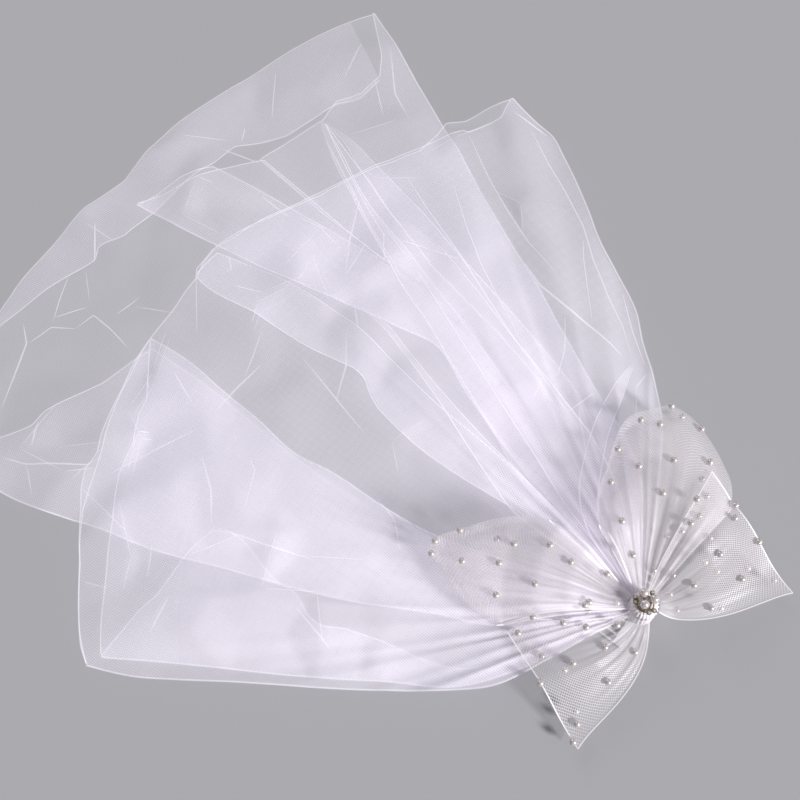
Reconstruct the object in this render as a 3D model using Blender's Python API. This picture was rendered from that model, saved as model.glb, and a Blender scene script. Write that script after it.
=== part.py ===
"""Short two-tier tulle bridal veil, gathered under a net bow set with pearls and laid out flat.

Metres, +Z up. Everything is built round the knot of the bow, which is the gather of the
veil, with bearings in degrees from +X towards +Y and reaches measured from the knot. At
the end the whole is set down so that the origin is the middle of its base.
"""

import math

import bmesh
import bpy
import numpy as np
from mathutils import Matrix, Vector
from mathutils.bvhtree import BVHTree

# Driving sizes
LONG_TIER = 0.550
SHORT_TIER = 0.410
TURNED_HEM = 0.066
TULLE_WALL = 0.001
NET_WALL = 0.001
KNOT_RADIUS = 0.0106
KNOT_CROWN = 0.0052
LOOP_LEFT_LENGTH = 0.154
LOOP_RIGHT_LENGTH = 0.150
LOOP_PUFF = 0.021
LOOP_OVER_PILE = 0.0014
TAIL_LEFT_LENGTH = 0.091
TAIL_RIGHT_LENGTH = 0.095
PEARL_DIAMETER = 0.005
BROOCH_DIAMETER = 0.019
BROOCH_PLATE = 0.0022
BROOCH_PEARL_DIAMETER = 0.0066
BROOCH_STONE_DIAMETER = 0.0027
COMB_LENGTH = 0.058
COMB_BAR_WIDTH = 0.007
COMB_THICKNESS = 0.004
COMB_TOOTH_LENGTH = 0.036
COMB_TOOTH_WIDTH = 0.0016
COMB_TOOTH_COUNT = 11
COMB_TOOTH_DEPTH_SHARE = 0.55
COMB_TOOTH_TAPER = 0.5
COMB_BEARING = 143.0
CLEARANCE = 0.0004

# The pile of folded tulle near the knot
PLEAT_ANGLE = 5.0
FAN_START = 0.100
OUTER_ROW_COUNT = 5
BILLOW = 0.0024
BILLOW_WAVE_COUNT = 6
LEAF_GAP_AT_KNOT = 0.00035
LEAF_GAP_LOOSE = 0.0014
LEAF_GAP_AT_HEM = 0.0007
PLEAT_HEIGHT = 0.0020
LOWEST_SHORT_LEVEL = 4
TOP_LEVEL = 9
LEFT_DROOP_ANGLE = 16.0
RIGHT_DROOP_ANGLE = 14.0
LEFT_DROOP_LEVEL_COUNT = 4
RIGHT_DROOP_LEVEL_COUNT = 7
DROOP_MARGIN_ANGLE = 1.5
DROOP_RUN = 0.080

# Rows through the gather. Columns: reach as a share of FAN_START, comb rise left, gap between
# leaves from 0 (at the knot) to 1 (loose), pleat height as a share of PLEAT_HEIGHT
GATHER_ROWS = (
    (0.11, 1.00, 0.00, 0.00),
    (0.32, 1.00, 0.35, 0.45),
    (0.54, 1.00, 0.75, 0.95),
    (0.78, 0.50, 1.00, 1.00),
    (1.00, 0.00, 1.00, 0.15),
)

# Edges of the leaves. Columns: reach as a share of the tier, bearing at the gather, at one
# third and at two thirds of the way out from FAN_START, and at the hem
LONG_EDGES = {
    "under_side": (0.751, 160.0, 158.0, 153.3, 150.5),
    "left_fold": (0.917, 185.0, 176.0, 171.6, 167.1),
    "right_fold": (1.000, 85.0, 102.6, 108.2, 110.6),
    "inner_fold": (0.913, 130.0, 124.3, 134.6, 139.0),
    "finger_side": (0.842, 105.0, 113.0, 118.7, 119.9),
}
SHORT_EDGES = {
    "lens_side": (0.756, 200.0, 190.5, 178.5, 169.4),
    "lens_fold": (0.926, 205.0, 194.5, 188.2, 184.9),
    "lapel_fold": (1.007, 160.0, 158.0, 153.3, 150.3),
    "low_fold": (0.949, 205.0, 196.0, 190.0, 185.7),
    "right_fold": (1.049, 80.0, 85.7, 93.6, 100.6),
    "band_fold": (1.007, 140.0, 143.0, 140.3, 142.0),
    "band_side": (1.012, 130.0, 134.0, 133.5, 138.5),
}

# Leaves from the lowest up; each meets the next at the edge they share. Columns: first edge,
# last edge, columns per pleat, hem between them as (share across, reach as a share of the tier)
LONG_LEAVES = (
    ("under_side", "left_fold", 1, ((0.33, 0.789), (0.62, 0.840), (0.84, 0.884))),
    ("left_fold", "right_fold", 1,
     ((0.07, 0.952), (0.15, 0.972), (0.29, 0.968), (0.50, 0.960), (0.63, 0.971), (0.82, 0.986))),
    ("right_fold", "inner_fold", 2,
     ((0.06, 0.890), (0.25, 0.873), (0.333, 0.851), (0.43, 0.585), (0.611, 0.849),
      (0.73, 0.878), (0.89, 0.900))),
    ("inner_fold", "finger_side", 2,
     ((0.16, 0.893), (0.42, 0.865), (0.59, 0.842), (0.80, 0.600), (0.90, 0.640))),
)
SHORT_LEAVES = (
    ("lens_side", "lens_fold", 4,
     ((0.21, 0.790), (0.43, 0.815), (0.57, 0.832), (0.69, 0.861), (0.83, 0.889))),
    ("lens_fold", "lapel_fold", 1,
     ((0.42, 0.930), (0.57, 0.946), (0.67, 0.940), (0.77, 0.956), (0.90, 0.976))),
    ("lapel_fold", "low_fold", 1,
     ((0.10, 1.010), (0.24, 1.000), (0.55, 0.990), (0.71, 0.970), (0.84, 0.965))),
    ("low_fold", "right_fold", 1,
     ((0.07, 0.965), (0.19, 0.991), (0.41, 1.007), (0.51, 1.008), (0.56, 1.029), (0.63, 1.000),
      (0.71, 0.985), (0.86, 0.975), (0.89, 0.999), (0.93, 1.017))),
    ("right_fold", "band_fold", 1,
     ((0.04, 1.010), (0.16, 0.990), (0.30, 0.972), (0.60, 0.982), (0.75, 0.998), (0.90, 1.022))),
    ("band_fold", "band_side", 1, ((0.50, 1.010),)),
)

# Turned hem of the spread leaf. Columns: share across the leaf, depth as a share of TURNED_HEM
TURNED_HEM_ROWS = (
    (0.15, 0.15), (0.29, 0.30), (0.40, 0.45), (0.50, 0.58), (0.63, 0.70), (0.72, 0.86), (0.96, 1.00),
)

# Lobes of the bow. Columns: bearing of the first and last edge at the knot and at the tip
LOBE_EDGES = {
    "bow_loop_left": (188.0, 137.0, 188.0, 137.0),
    "bow_loop_right": (118.0, 47.0, 118.0, 46.0),
    "bow_tail_right": (70.0, -25.0, 61.0, 6.6),
    "bow_tail_left": (202.0, 284.0, 185.6, 243.0),
}
# Round tips of the loops as (share across, reach as a share of the loop's length)
LOOP_TIPS = {
    "bow_loop_left": (
        (0.00, 0.68), (0.18, 0.83), (0.34, 0.93), (0.45, 1.00), (0.52, 0.98), (0.60, 0.90),
        (0.78, 0.76), (0.92, 0.65), (1.00, 0.57),
    ),
    "bow_loop_right": (
        (0.00, 0.42), (0.13, 0.58), (0.23, 0.69), (0.36, 0.91), (0.47, 0.97), (0.54, 1.00),
        (0.62, 0.97), (0.72, 0.89), (0.83, 0.80), (0.93, 0.72), (1.00, 0.63),
    ),
}
# Side view of a loop. Columns: share of the reach, gap between its two layers over LOOP_PUFF
LOOP_SIDE = (
    (0.00, 0.10), (0.12, 0.16), (0.28, 0.48), (0.46, 0.84), (0.64, 1.00), (0.82, 0.90), (0.95, 0.52),
)
# Share of the gap that is lost at a loop's two edges
LOOP_ROUNDING = 0.35
LOOP_COLUMN_COUNT = 12
# How quickly a lobe's edges swing from their bearing at the knot to that at the tip
LOBE_SWING_POWER = 1.6
# Bearing square to the straight cut at the end of each tail
CUT_BEARINGS = {"bow_tail_right": 37.0, "bow_tail_left": 211.2}
# Fall of a tail's last edge. Columns: share of the reach, share of the height that it leaves at
TAIL_FALL = {
    "bow_tail_right": ((0.0, 1.00), (0.3, 0.98), (0.6, 0.76), (1.0, 0.48)),
    "bow_tail_left": ((0.0, 1.00), (0.3, 0.95), (0.6, 0.72), (1.0, 0.40)),
}
# Share across each tail up to which it lies on what is under it: the right loop, or the left pile
TAIL_LAID_SHARE = {"bow_tail_right": 0.28, "bow_tail_left": 0.48}
TAIL_PILE_LEVEL = 7
TAIL_OVER_LOOP = 0.0016
TAIL_COLUMN_COUNT = 10
TAIL_ROW_COUNT = 8
LOBE_PLEAT = 0.0012
LOBE_PLEAT_SHARES = ((0.0, 0.0), (0.15, 0.8), (0.35, 1.0), (0.6, 0.6), (0.85, 0.2), (1.0, 0.0))

# Pearls sewn on the lobes. Columns: lobe, share of the reach, share across
PEARLS = (
    ("bow_loop_left", 0.96, 0.58), ("bow_loop_left", 0.97, 0.47), ("bow_loop_left", 0.97, 0.39),
    ("bow_loop_left", 0.87, 0.40), ("bow_loop_left", 0.72, 0.63), ("bow_loop_left", 0.68, 0.45),
    ("bow_loop_left", 0.65, 0.77), ("bow_loop_left", 0.48, 0.71), ("bow_loop_left", 0.54, 0.33),
    ("bow_loop_left", 0.81, 0.20), ("bow_loop_left", 0.28, 0.80), ("bow_loop_left", 0.35, 0.15),
    ("bow_loop_right", 0.98, 0.54), ("bow_loop_right", 0.92, 0.41), ("bow_loop_right", 0.87, 0.50),
    ("bow_loop_right", 0.97, 0.68), ("bow_loop_right", 0.95, 0.29), ("bow_loop_right", 0.72, 0.39),
    ("bow_loop_right", 0.70, 0.58), ("bow_loop_right", 0.88, 0.77), ("bow_loop_right", 0.87, 0.20),
    ("bow_loop_right", 0.53, 0.55), ("bow_loop_right", 0.57, 0.19), ("bow_loop_right", 0.33, 0.18),
    ("bow_tail_right", 0.74, 0.06), ("bow_tail_right", 0.96, 0.27), ("bow_tail_right", 0.89, 0.36),
    ("bow_tail_right", 0.57, 0.09), ("bow_tail_right", 0.95, 0.59), ("bow_tail_right", 0.65, 0.48),
    ("bow_tail_right", 0.71, 0.76), ("bow_tail_right", 0.33, 0.57), ("bow_tail_right", 0.37, 0.86),
    ("bow_tail_left", 0.76, 0.06), ("bow_tail_left", 0.58, 0.16), ("bow_tail_left", 0.93, 0.11),
    ("bow_tail_left", 0.47, 0.26), ("bow_tail_left", 0.82, 0.34), ("bow_tail_left", 0.67, 0.46),
    ("bow_tail_left", 0.96, 0.52), ("bow_tail_left", 0.58, 0.78), ("bow_tail_left", 0.96, 0.86),
)

# Brooch. Columns: bearing, distance from its middle as a share of BROOCH_DIAMETER
BROOCH_PEARLS = ((101.0, 0.35), (229.0, 0.11), (20.0, 0.32))
BROOCH_STONES = ((174.0, 0.38), (152.0, 0.43), (283.0, 0.37), (314.0, 0.41), (55.0, 0.45))

# Turned pieces. Columns: share of the radius, share of the height
KNOT_PROFILE = ((0.0, 0.0), (0.86, 0.0), (1.0, 0.10), (1.0, 0.88), (0.80, 1.0), (0.0, 1.0))
BROOCH_PROFILE = ((0.0, 0.0), (0.80, 0.0), (1.0, 0.45), (0.92, 1.0), (0.0, 1.0))
STONE_PROFILE = ((0.0, 0.0), (0.30, 0.0), (1.0, 0.70), (0.55, 1.0), (0.0, 1.0))
STONE_DEPTH_SHARE = 0.75

KNOT_SIDE_COUNT = 20
BEAD_SIDE_COUNT = 10
BEAD_RING_COUNT = 5
SEAT_STEP_COUNT = 12
# Step, as a share of the lobe, over which the slope under a pearl is read
SEAT_SLOPE_STEP = 0.05
STONE_SIDE_COUNT = 8


def clear_scene():
    for item in list(bpy.data.objects):
        bpy.data.objects.remove(item, do_unlink=True)


def material(name, colour, roughness, metallic=0.0):
    made = bpy.data.materials.get(name) or bpy.data.materials.new(name)
    made.use_nodes = True
    shader = made.node_tree.nodes["Principled BSDF"]
    shader.inputs["Base Color"].default_value = (*colour, 1.0)
    shader.inputs["Roughness"].default_value = roughness
    shader.inputs["Metallic"].default_value = metallic
    made.diffuse_color = (*colour, 1.0)
    return made


def tulle():
    return material("lilac white tulle", (0.80, 0.77, 0.82), 0.7)


def stiff_net():
    return material("stiff bow net", (0.84, 0.80, 0.80), 0.6)


def pearl_lustre():
    return material("pearl lustre", (0.90, 0.87, 0.83), 0.2)


def gold_tone():
    return material("gold tone metal", (0.80, 0.65, 0.42), 0.3, 1.0)


def clear_stone():
    return material("clear cut stone", (0.85, 0.87, 0.90), 0.05)


def comb_plastic():
    return material("clear comb plastic", (0.80, 0.80, 0.80), 0.35)


def add_object(name, mesh, finish):
    made = bpy.data.objects.new(name, mesh)
    bpy.context.scene.collection.objects.link(made)
    if not mesh.materials:
        mesh.materials.append(finish)
    return made


def mesh_from(form, name, smooth_angle=40.0):
    mesh = bpy.data.meshes.new(name)
    form.to_mesh(mesh)
    form.free()
    mesh.shade_smooth()
    mesh.set_sharp_from_angle(angle=math.radians(smooth_angle))
    return mesh


def between(table, share, column=1):
    """The value in a column of a table at a share that its first column holds."""
    return float(np.interp(share, [row[0] for row in table], [row[column] for row in table]))


def smooth_step(share):
    held = min(max(share, 0.0), 1.0)
    return held * held * (3.0 - 2.0 * held)


def plan_point(bearing, reach, height):
    angle = math.radians(bearing)
    return Vector((reach * math.cos(angle), reach * math.sin(angle), height))


def edge_bearing(edge, way_out):
    """Bearing of a leaf's edge at a share of the way from FAN_START to its hem."""
    return float(np.interp(way_out, (0.0, 1 / 3, 2 / 3, 1.0), edge[1:]))


def comb_rise(reach):
    """How far the comb lifts the lowest leaf."""
    return (COMB_THICKNESS + CLEARANCE) * between(GATHER_ROWS, reach / FAN_START, 1)


def leaf_pitch(reach):
    if reach <= FAN_START:
        loose = between(GATHER_ROWS, reach / FAN_START, 2)
        gap = LEAF_GAP_AT_KNOT + (LEAF_GAP_LOOSE - LEAF_GAP_AT_KNOT) * loose
    else:
        out = (reach - FAN_START) / (LONG_TIER - FAN_START)
        gap = LEAF_GAP_LOOSE + (LEAF_GAP_AT_HEM - LEAF_GAP_LOOSE) * out
    return TULLE_WALL + gap


def pleat_height(reach):
    return PLEAT_HEIGHT * between(GATHER_ROWS, reach / FAN_START, 3) if reach <= FAN_START else 0.0


def droop(bearing, reach):
    """How far the short tier sinks where the long one isn't under it."""
    if reach <= FAN_START:
        return 0.0
    way_out = {}
    for name in ("left_fold", "right_fold"):
        edge = LONG_EDGES[name]
        span = edge[0] * LONG_TIER - FAN_START
        way_out[name] = edge_bearing(edge, (reach - FAN_START) / span)
    past_left = (bearing - way_out["left_fold"] - DROOP_MARGIN_ANGLE) / LEFT_DROOP_ANGLE
    past_right = (way_out["right_fold"] - DROOP_MARGIN_ANGLE - bearing) / RIGHT_DROOP_ANGLE
    levels = LEFT_DROOP_LEVEL_COUNT * smooth_step(past_left)
    levels += RIGHT_DROOP_LEVEL_COUNT * smooth_step(past_right)
    return levels * leaf_pitch(reach) * smooth_step((reach - FAN_START) / DROOP_RUN)


def pile_height(level, bearing, reach):
    """Height of the middle of a leaf's wall at a place in the pile."""
    turn = (bearing / PLEAT_ANGLE) % 2.0
    crest = 2.0 * abs(turn - 1.0) - 1.0
    swell = max(reach - FAN_START, 0.0) / (LONG_TIER - FAN_START)
    billow = BILLOW * swell * (1.0 + math.sin(math.radians(BILLOW_WAVE_COUNT * bearing))) / 2.0
    height = TULLE_WALL / 2 + comb_rise(reach) + level * leaf_pitch(reach) + billow
    height += pleat_height(reach) * (1.0 + crest)
    if level >= LOWEST_SHORT_LEVEL:
        height -= droop(bearing, reach)
    return height


def pile_crest(reach, level=TOP_LEVEL):
    """Highest that the pile can stand at a reach."""
    top = comb_rise(reach) + level * leaf_pitch(reach) + TULLE_WALL
    swell = max(reach - FAN_START, 0.0) / (LONG_TIER - FAN_START)
    return top + 2.0 * pleat_height(reach) + BILLOW * swell


def leaf_column(edges, leaf, tier_length, share, level):
    """Points of one line of a leaf from the knot to the hem."""
    first = edges[leaf[0]]
    last = edges[leaf[1]]
    hem = ((0.0, first[0]), *leaf[3], (1.0, last[0]))
    reach_out = between(hem, share) * tier_length
    points = []
    for row in GATHER_ROWS:
        bearing = first[1] + (last[1] - first[1]) * share
        reach = row[0] * FAN_START
        points.append((bearing, reach, pile_height(level, bearing, reach)))
    for row in range(1, OUTER_ROW_COUNT + 1):
        way_out = row / OUTER_ROW_COUNT
        start = edge_bearing(first, way_out)
        bearing = start + (edge_bearing(last, way_out) - start) * share
        reach = FAN_START + (reach_out - FAN_START) * way_out
        points.append((bearing, reach, pile_height(level, bearing, reach)))
    return points


def bend_column(column, next_column, sign):
    """The line down the outside of a fold, half a pitch beyond its edge."""
    points = []
    for (bearing, reach, low), (_, _, high) in zip(column, next_column):
        aside = math.degrees((high - low) / 2 / reach)
        points.append((bearing + sign * aside, reach, (low + high) / 2))
    return points


def folded_tier(name, edges, leaves, tier_length, lowest_level):
    """A sheet folded to and fro into leaves, and the columns at which each leaf starts and ends."""
    columns = []
    spans = []
    for number, leaf in enumerate(leaves):
        level = lowest_level + number
        gather_span = edges[leaf[1]][1] - edges[leaf[0]][1]
        steps = max(1, round(abs(gather_span) / PLEAT_ANGLE)) * leaf[2]
        made = [leaf_column(edges, leaf, tier_length, step / steps, level) for step in range(steps + 1)]
        if columns:
            turning = math.copysign(1.0, edges[leaves[number - 1][1]][1] - edges[leaves[number - 1][0]][1])
            columns.append(bend_column(columns[-1], made[0], turning))
        spans.append((len(columns), len(columns) + steps))
        columns.extend(made)
    form = bmesh.new()
    rows = len(columns[0])
    bmesh.ops.create_grid(form, x_segments=rows - 1, y_segments=len(columns) - 1, size=1.0)
    form.verts.ensure_lookup_table()
    for index, vert in enumerate(form.verts):
        vert.co = plan_point(*columns[index // rows][index % rows])
    return form, columns, spans


def turn_hem(form, columns, span, level):
    """Fold the hem of one leaf under, by the depths in TURNED_HEM_ROWS."""
    rows = len(columns[0])
    first, last = span
    shares = {}
    for column in range(first, last + 1):
        share = (column - first) / (last - first)
        if TURNED_HEM_ROWS[0][0] <= share <= TURNED_HEM_ROWS[-1][0]:
            shares[column] = share
    edges = []
    for column in shares:
        if column + 1 in shares:
            one = form.verts[column * rows + rows - 1]
            other = form.verts[(column + 1) * rows + rows - 1]
            edges.append(form.edges.get((one, other)))
    column_of = {form.verts[column * rows + rows - 1]: column for column in shares}
    for stage in ("bend", "level", "inner"):
        made = bmesh.ops.extrude_edge_only(form, edges=edges)["geom"]
        fresh = [item for item in made if isinstance(item, bmesh.types.BMVert)]
        source = {}
        for vert in fresh:
            for edge in vert.link_edges:
                other = edge.other_vert(vert)
                if other in column_of:
                    source[vert] = column_of[other]
        for vert, column in source.items():
            bearing, reach, height = columns[column][-1]
            pitch = leaf_pitch(reach)
            depth = TURNED_HEM * between(TURNED_HEM_ROWS, shares[column])
            if stage == "bend":
                place = (bearing, reach + pitch / 2, height - pitch / 2)
            elif stage == "level":
                place = (bearing, reach, pile_height(level - 1, bearing, reach))
            else:
                place = (bearing, reach - depth, pile_height(level - 1, bearing, reach - depth))
            vert.co = plan_point(*place)
        column_of = source
        edges = [
            item for item in made
            if isinstance(item, bmesh.types.BMEdge) and all(vert in source for vert in item.verts)
        ]


def thicken(item, wall):
    solid = item.modifiers.new("wall", "SOLIDIFY")
    solid.thickness = wall
    solid.offset = 0.0
    return item


def build_long_tier():
    form, columns, spans = folded_tier("veil_tier_long", LONG_EDGES, LONG_LEAVES, LONG_TIER, 0)
    turn_hem(form, columns, spans[1], 1)
    bmesh.ops.recalc_face_normals(form, faces=form.faces)
    thicken(add_object("veil_tier_long", mesh_from(form, "veil_tier_long"), tulle()), TULLE_WALL)


def build_short_tier():
    form, _, _ = folded_tier(
        "veil_tier_short", SHORT_EDGES, SHORT_LEAVES, SHORT_TIER, LOWEST_SHORT_LEVEL
    )
    bmesh.ops.recalc_face_normals(form, faces=form.faces)
    thicken(add_object("veil_tier_short", mesh_from(form, "veil_tier_short"), tulle()), TULLE_WALL)


def lobe_bearing(lobe, along, across):
    root_first, root_last, tip_first, tip_last = LOBE_EDGES[lobe]
    inward = (1.0 - along) ** LOBE_SWING_POWER
    first = tip_first + (root_first - tip_first) * inward
    last = tip_last + (root_last - tip_last) * inward
    return first + (last - first) * across


def lobe_reach(lobe, along, across):
    """Reach at a share of the way from the knot's side to the lobe's tip."""
    if lobe in LOOP_TIPS:
        length = {"bow_loop_left": LOOP_LEFT_LENGTH, "bow_loop_right": LOOP_RIGHT_LENGTH}[lobe]
        tip = between(LOOP_TIPS[lobe], across) * length
    else:
        length = {"bow_tail_left": TAIL_LEFT_LENGTH, "bow_tail_right": TAIL_RIGHT_LENGTH}[lobe]
        tip = length / math.cos(math.radians(lobe_bearing(lobe, 1.0, across) - CUT_BEARINGS[lobe]))
    inner = KNOT_RADIUS + CLEARANCE
    return inner + (tip - inner) * along


def lobe_ripple(columns, along, across):
    """Small pleats that run out from the knot, one up and one down in turn."""
    turn = (across * columns) % 2.0
    return LOBE_PLEAT * between(LOBE_PLEAT_SHARES, along) * (2.0 * abs(turn - 1.0) - 1.0)


def loop_height(lobe, along, across, upper):
    """Height of a loop's layer without its small pleats."""
    floor = pile_crest(lobe_reach(lobe, along, across)) + LOOP_OVER_PILE + NET_WALL / 2
    floor += LOBE_PLEAT * between(LOBE_PLEAT_SHARES, along)
    gap = LOOP_PUFF * between(LOOP_SIDE, along)
    rounding = 1.0 - LOOP_ROUNDING * (2.0 * across - 1.0) ** 2
    return floor + (gap * rounding + NET_WALL if upper else 0.0)


def loop_point(lobe, along, across, upper):
    height = loop_height(lobe, along, across, upper) + lobe_ripple(LOOP_COLUMN_COUNT, along, across)
    return plan_point(lobe_bearing(lobe, along, across), lobe_reach(lobe, along, across), height)


def loop_tip_point(lobe, across):
    """The outside of the loop's fold, half way between its layers."""
    low = loop_point(lobe, LOOP_SIDE[-1][0], across, False)
    high = loop_point(lobe, LOOP_SIDE[-1][0], across, True)
    tip = plan_point(lobe_bearing(lobe, 1.0, across), lobe_reach(lobe, 1.0, across), 0.0)
    tip.z = (low.z + high.z) / 2
    return tip


def height_over_loop(lobe, bearing, reach):
    """Height at which net lies on a loop, or level with its last edge where it is past that."""
    _, _, first, last = LOBE_EDGES[lobe]
    across = min((bearing - first) / (last - first), 1.0)
    inner = lobe_reach(lobe, 0.0, across)
    along = min((reach - inner) / (lobe_reach(lobe, 1.0, across) - inner), LOOP_SIDE[-1][0])
    room = NET_WALL + TAIL_OVER_LOOP + 2.0 * LOBE_PLEAT * between(LOBE_PLEAT_SHARES, along)
    return loop_height(lobe, along, across, True) + room


def tail_point(lobe, along, across):
    bearing, reach = lobe_bearing(lobe, along, across), lobe_reach(lobe, along, across)
    leaving = pile_crest(KNOT_RADIUS, TAIL_PILE_LEVEL) + LOOP_OVER_PILE + NET_WALL / 2
    last = leaving * between(TAIL_FALL[lobe], along)
    if lobe == "bow_tail_left":
        first = pile_crest(reach, TAIL_PILE_LEVEL) + LOOP_OVER_PILE + NET_WALL / 2
        first += LOBE_PLEAT * between(LOBE_PLEAT_SHARES, along)
    else:
        first = height_over_loop("bow_loop_right", bearing, reach)
    laid = TAIL_LAID_SHARE[lobe]
    height = first + (last - first) * smooth_step((across - laid) / (1.0 - laid))
    height += lobe_ripple(TAIL_COLUMN_COUNT, along, across)
    return plan_point(bearing, reach, height)


def sheet_from_rows(rows):
    """A mesh grid through rows of points of equal count."""
    form = bmesh.new()
    count = len(rows[0])
    bmesh.ops.create_grid(form, x_segments=count - 1, y_segments=len(rows) - 1, size=1.0)
    form.verts.ensure_lookup_table()
    for index, vert in enumerate(form.verts):
        vert.co = rows[index // count][index % count]
    bmesh.ops.recalc_face_normals(form, faces=form.faces)
    return form


def build_loop(lobe):
    shares = [row[0] for row in LOOP_SIDE]
    lines = [step / LOOP_COLUMN_COUNT for step in range(LOOP_COLUMN_COUNT + 1)]
    rows = [[loop_point(lobe, along, across, False) for across in lines] for along in shares]
    rows.append([loop_tip_point(lobe, across) for across in lines])
    rows.extend([loop_point(lobe, along, across, True) for across in lines] for along in reversed(shares))
    thicken(add_object(lobe, mesh_from(sheet_from_rows(rows), lobe), stiff_net()), NET_WALL)


def build_tail(lobe):
    lines = [step / TAIL_COLUMN_COUNT for step in range(TAIL_COLUMN_COUNT + 1)]
    rows = [
        [tail_point(lobe, row / (TAIL_ROW_COUNT - 1), across) for across in lines]
        for row in range(TAIL_ROW_COUNT)
    ]
    thicken(add_object(lobe, mesh_from(sheet_from_rows(rows), lobe), stiff_net()), NET_WALL)


def turned(profile, radius, low, height, sides, name):
    """A closed round piece from a table of shares, bottom to top, that starts and ends on its axis."""
    form = bmesh.new()
    line = [form.verts.new((out * radius, 0.0, low + up * height)) for out, up in profile]
    edges = [form.edges.new(pair) for pair in zip(line, line[1:])]
    bmesh.ops.spin(
        form, geom=line + edges, cent=(0, 0, 0), axis=(0, 0, 1),
        angle=math.tau, steps=sides, use_merge=True,
    )
    bmesh.ops.remove_doubles(form, verts=form.verts, dist=1e-6)
    bmesh.ops.recalc_face_normals(form, faces=form.faces)
    return mesh_from(form, name)


def knot_base():
    return comb_rise(0.0)


def knot_height():
    """From the comb to a little over where the loops leave the knot."""
    leaving = pile_crest(KNOT_RADIUS) + LOOP_OVER_PILE + LOOP_PUFF * LOOP_SIDE[0][1] + 2 * NET_WALL
    return leaving + KNOT_CROWN - knot_base()


def build_knot():
    """The bound middle: a waisted drum whose pinched top swells a little."""
    drum = turned(KNOT_PROFILE, KNOT_RADIUS, knot_base(), knot_height(), KNOT_SIDE_COUNT, "bow_knot")
    add_object("bow_knot", drum, stiff_net())


def brooch_base():
    return knot_base() + knot_height() + CLEARANCE


def build_brooch():
    low = brooch_base()
    plate = turned(
        BROOCH_PROFILE, BROOCH_DIAMETER / 2, low, BROOCH_PLATE, KNOT_SIDE_COUNT, "brooch_setting"
    )
    add_object("brooch_setting", plate, gold_tone())
    top = low + BROOCH_PLATE + CLEARANCE
    bead = bead_mesh("brooch_pearl", BROOCH_PEARL_DIAMETER)
    for number, (bearing, share) in enumerate(BROOCH_PEARLS, 1):
        pearl = add_object(f"brooch_pearl_{number}", bead, pearl_lustre())
        middle = top + BROOCH_PEARL_DIAMETER / 2
        pearl.location = plan_point(bearing, share * BROOCH_DIAMETER, middle)
    stone = stone_mesh()
    for number, (bearing, share) in enumerate(BROOCH_STONES, 1):
        gem = add_object(f"brooch_stone_{number}", stone, clear_stone())
        gem.location = plan_point(bearing, share * BROOCH_DIAMETER, top)


def bead_mesh(name, diameter):
    form = bmesh.new()
    bmesh.ops.create_uvsphere(
        form, u_segments=BEAD_SIDE_COUNT, v_segments=BEAD_RING_COUNT, radius=diameter / 2
    )
    return mesh_from(form, name, 80.0)


def stone_mesh():
    """A round cut stone: table, crown and point, with its point flattened where it is set."""
    depth = BROOCH_STONE_DIAMETER * STONE_DEPTH_SHARE
    mesh = turned(
        STONE_PROFILE, BROOCH_STONE_DIAMETER / 2, 0.0, depth, STONE_SIDE_COUNT, "brooch_stone"
    )
    mesh.shade_flat()
    return mesh


def lobe_surface(lobe, along, across):
    if lobe in LOOP_TIPS:
        return loop_point(lobe, along, across, True)
    return tail_point(lobe, along, across)


def build_pearls():
    """Each pearl sits on the net's outer face, out along the face's own slope."""
    bead = bead_mesh("pearl", PEARL_DIAMETER)
    seat = PEARL_DIAMETER / 2 + CLEARANCE
    faces = {lobe: solid_faces(lobe) for lobe in LOBE_EDGES}
    for number, (lobe, along, across) in enumerate(PEARLS, 1):
        here = lobe_surface(lobe, along, across)
        outer = lobe_surface(lobe, min(along + SEAT_SLOPE_STEP, 1.0), across)
        inner = lobe_surface(lobe, along - SEAT_SLOPE_STEP, across)
        right = lobe_surface(lobe, along, min(across + SEAT_SLOPE_STEP, 1.0))
        left = lobe_surface(lobe, along, across - SEAT_SLOPE_STEP)
        normal = (outer - inner).cross(right - left).normalized()
        if normal.z < 0.0:
            normal.negate()
        place = here + normal * (seat + NET_WALL)
        place = faces[lobe].ray_cast(place, -normal)[0] + normal * seat
        for _ in range(SEAT_STEP_COUNT):
            place += normal * max(seat - faces[lobe].find_nearest(place)[3], 0.0)
        pearl = add_object(f"pearl_{number:02d}", bead, pearl_lustre())
        pearl.location = place


def solid_faces(name):
    """The faces of a finished piece, for setting something down on it."""
    bpy.context.view_layer.update()
    seen = bpy.data.objects[name].evaluated_get(bpy.context.evaluated_depsgraph_get())
    form = bmesh.new()
    form.from_mesh(seen.to_mesh())
    tree = BVHTree.FromBMesh(form)
    form.free()
    seen.to_mesh_clear()
    return tree


def add_block(form, middle, sides):
    place = Matrix.Translation(middle)
    size = Matrix.Diagonal((*sides, 1.0))
    return bmesh.ops.create_cube(form, size=1.0, matrix=place @ size)["verts"]


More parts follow.
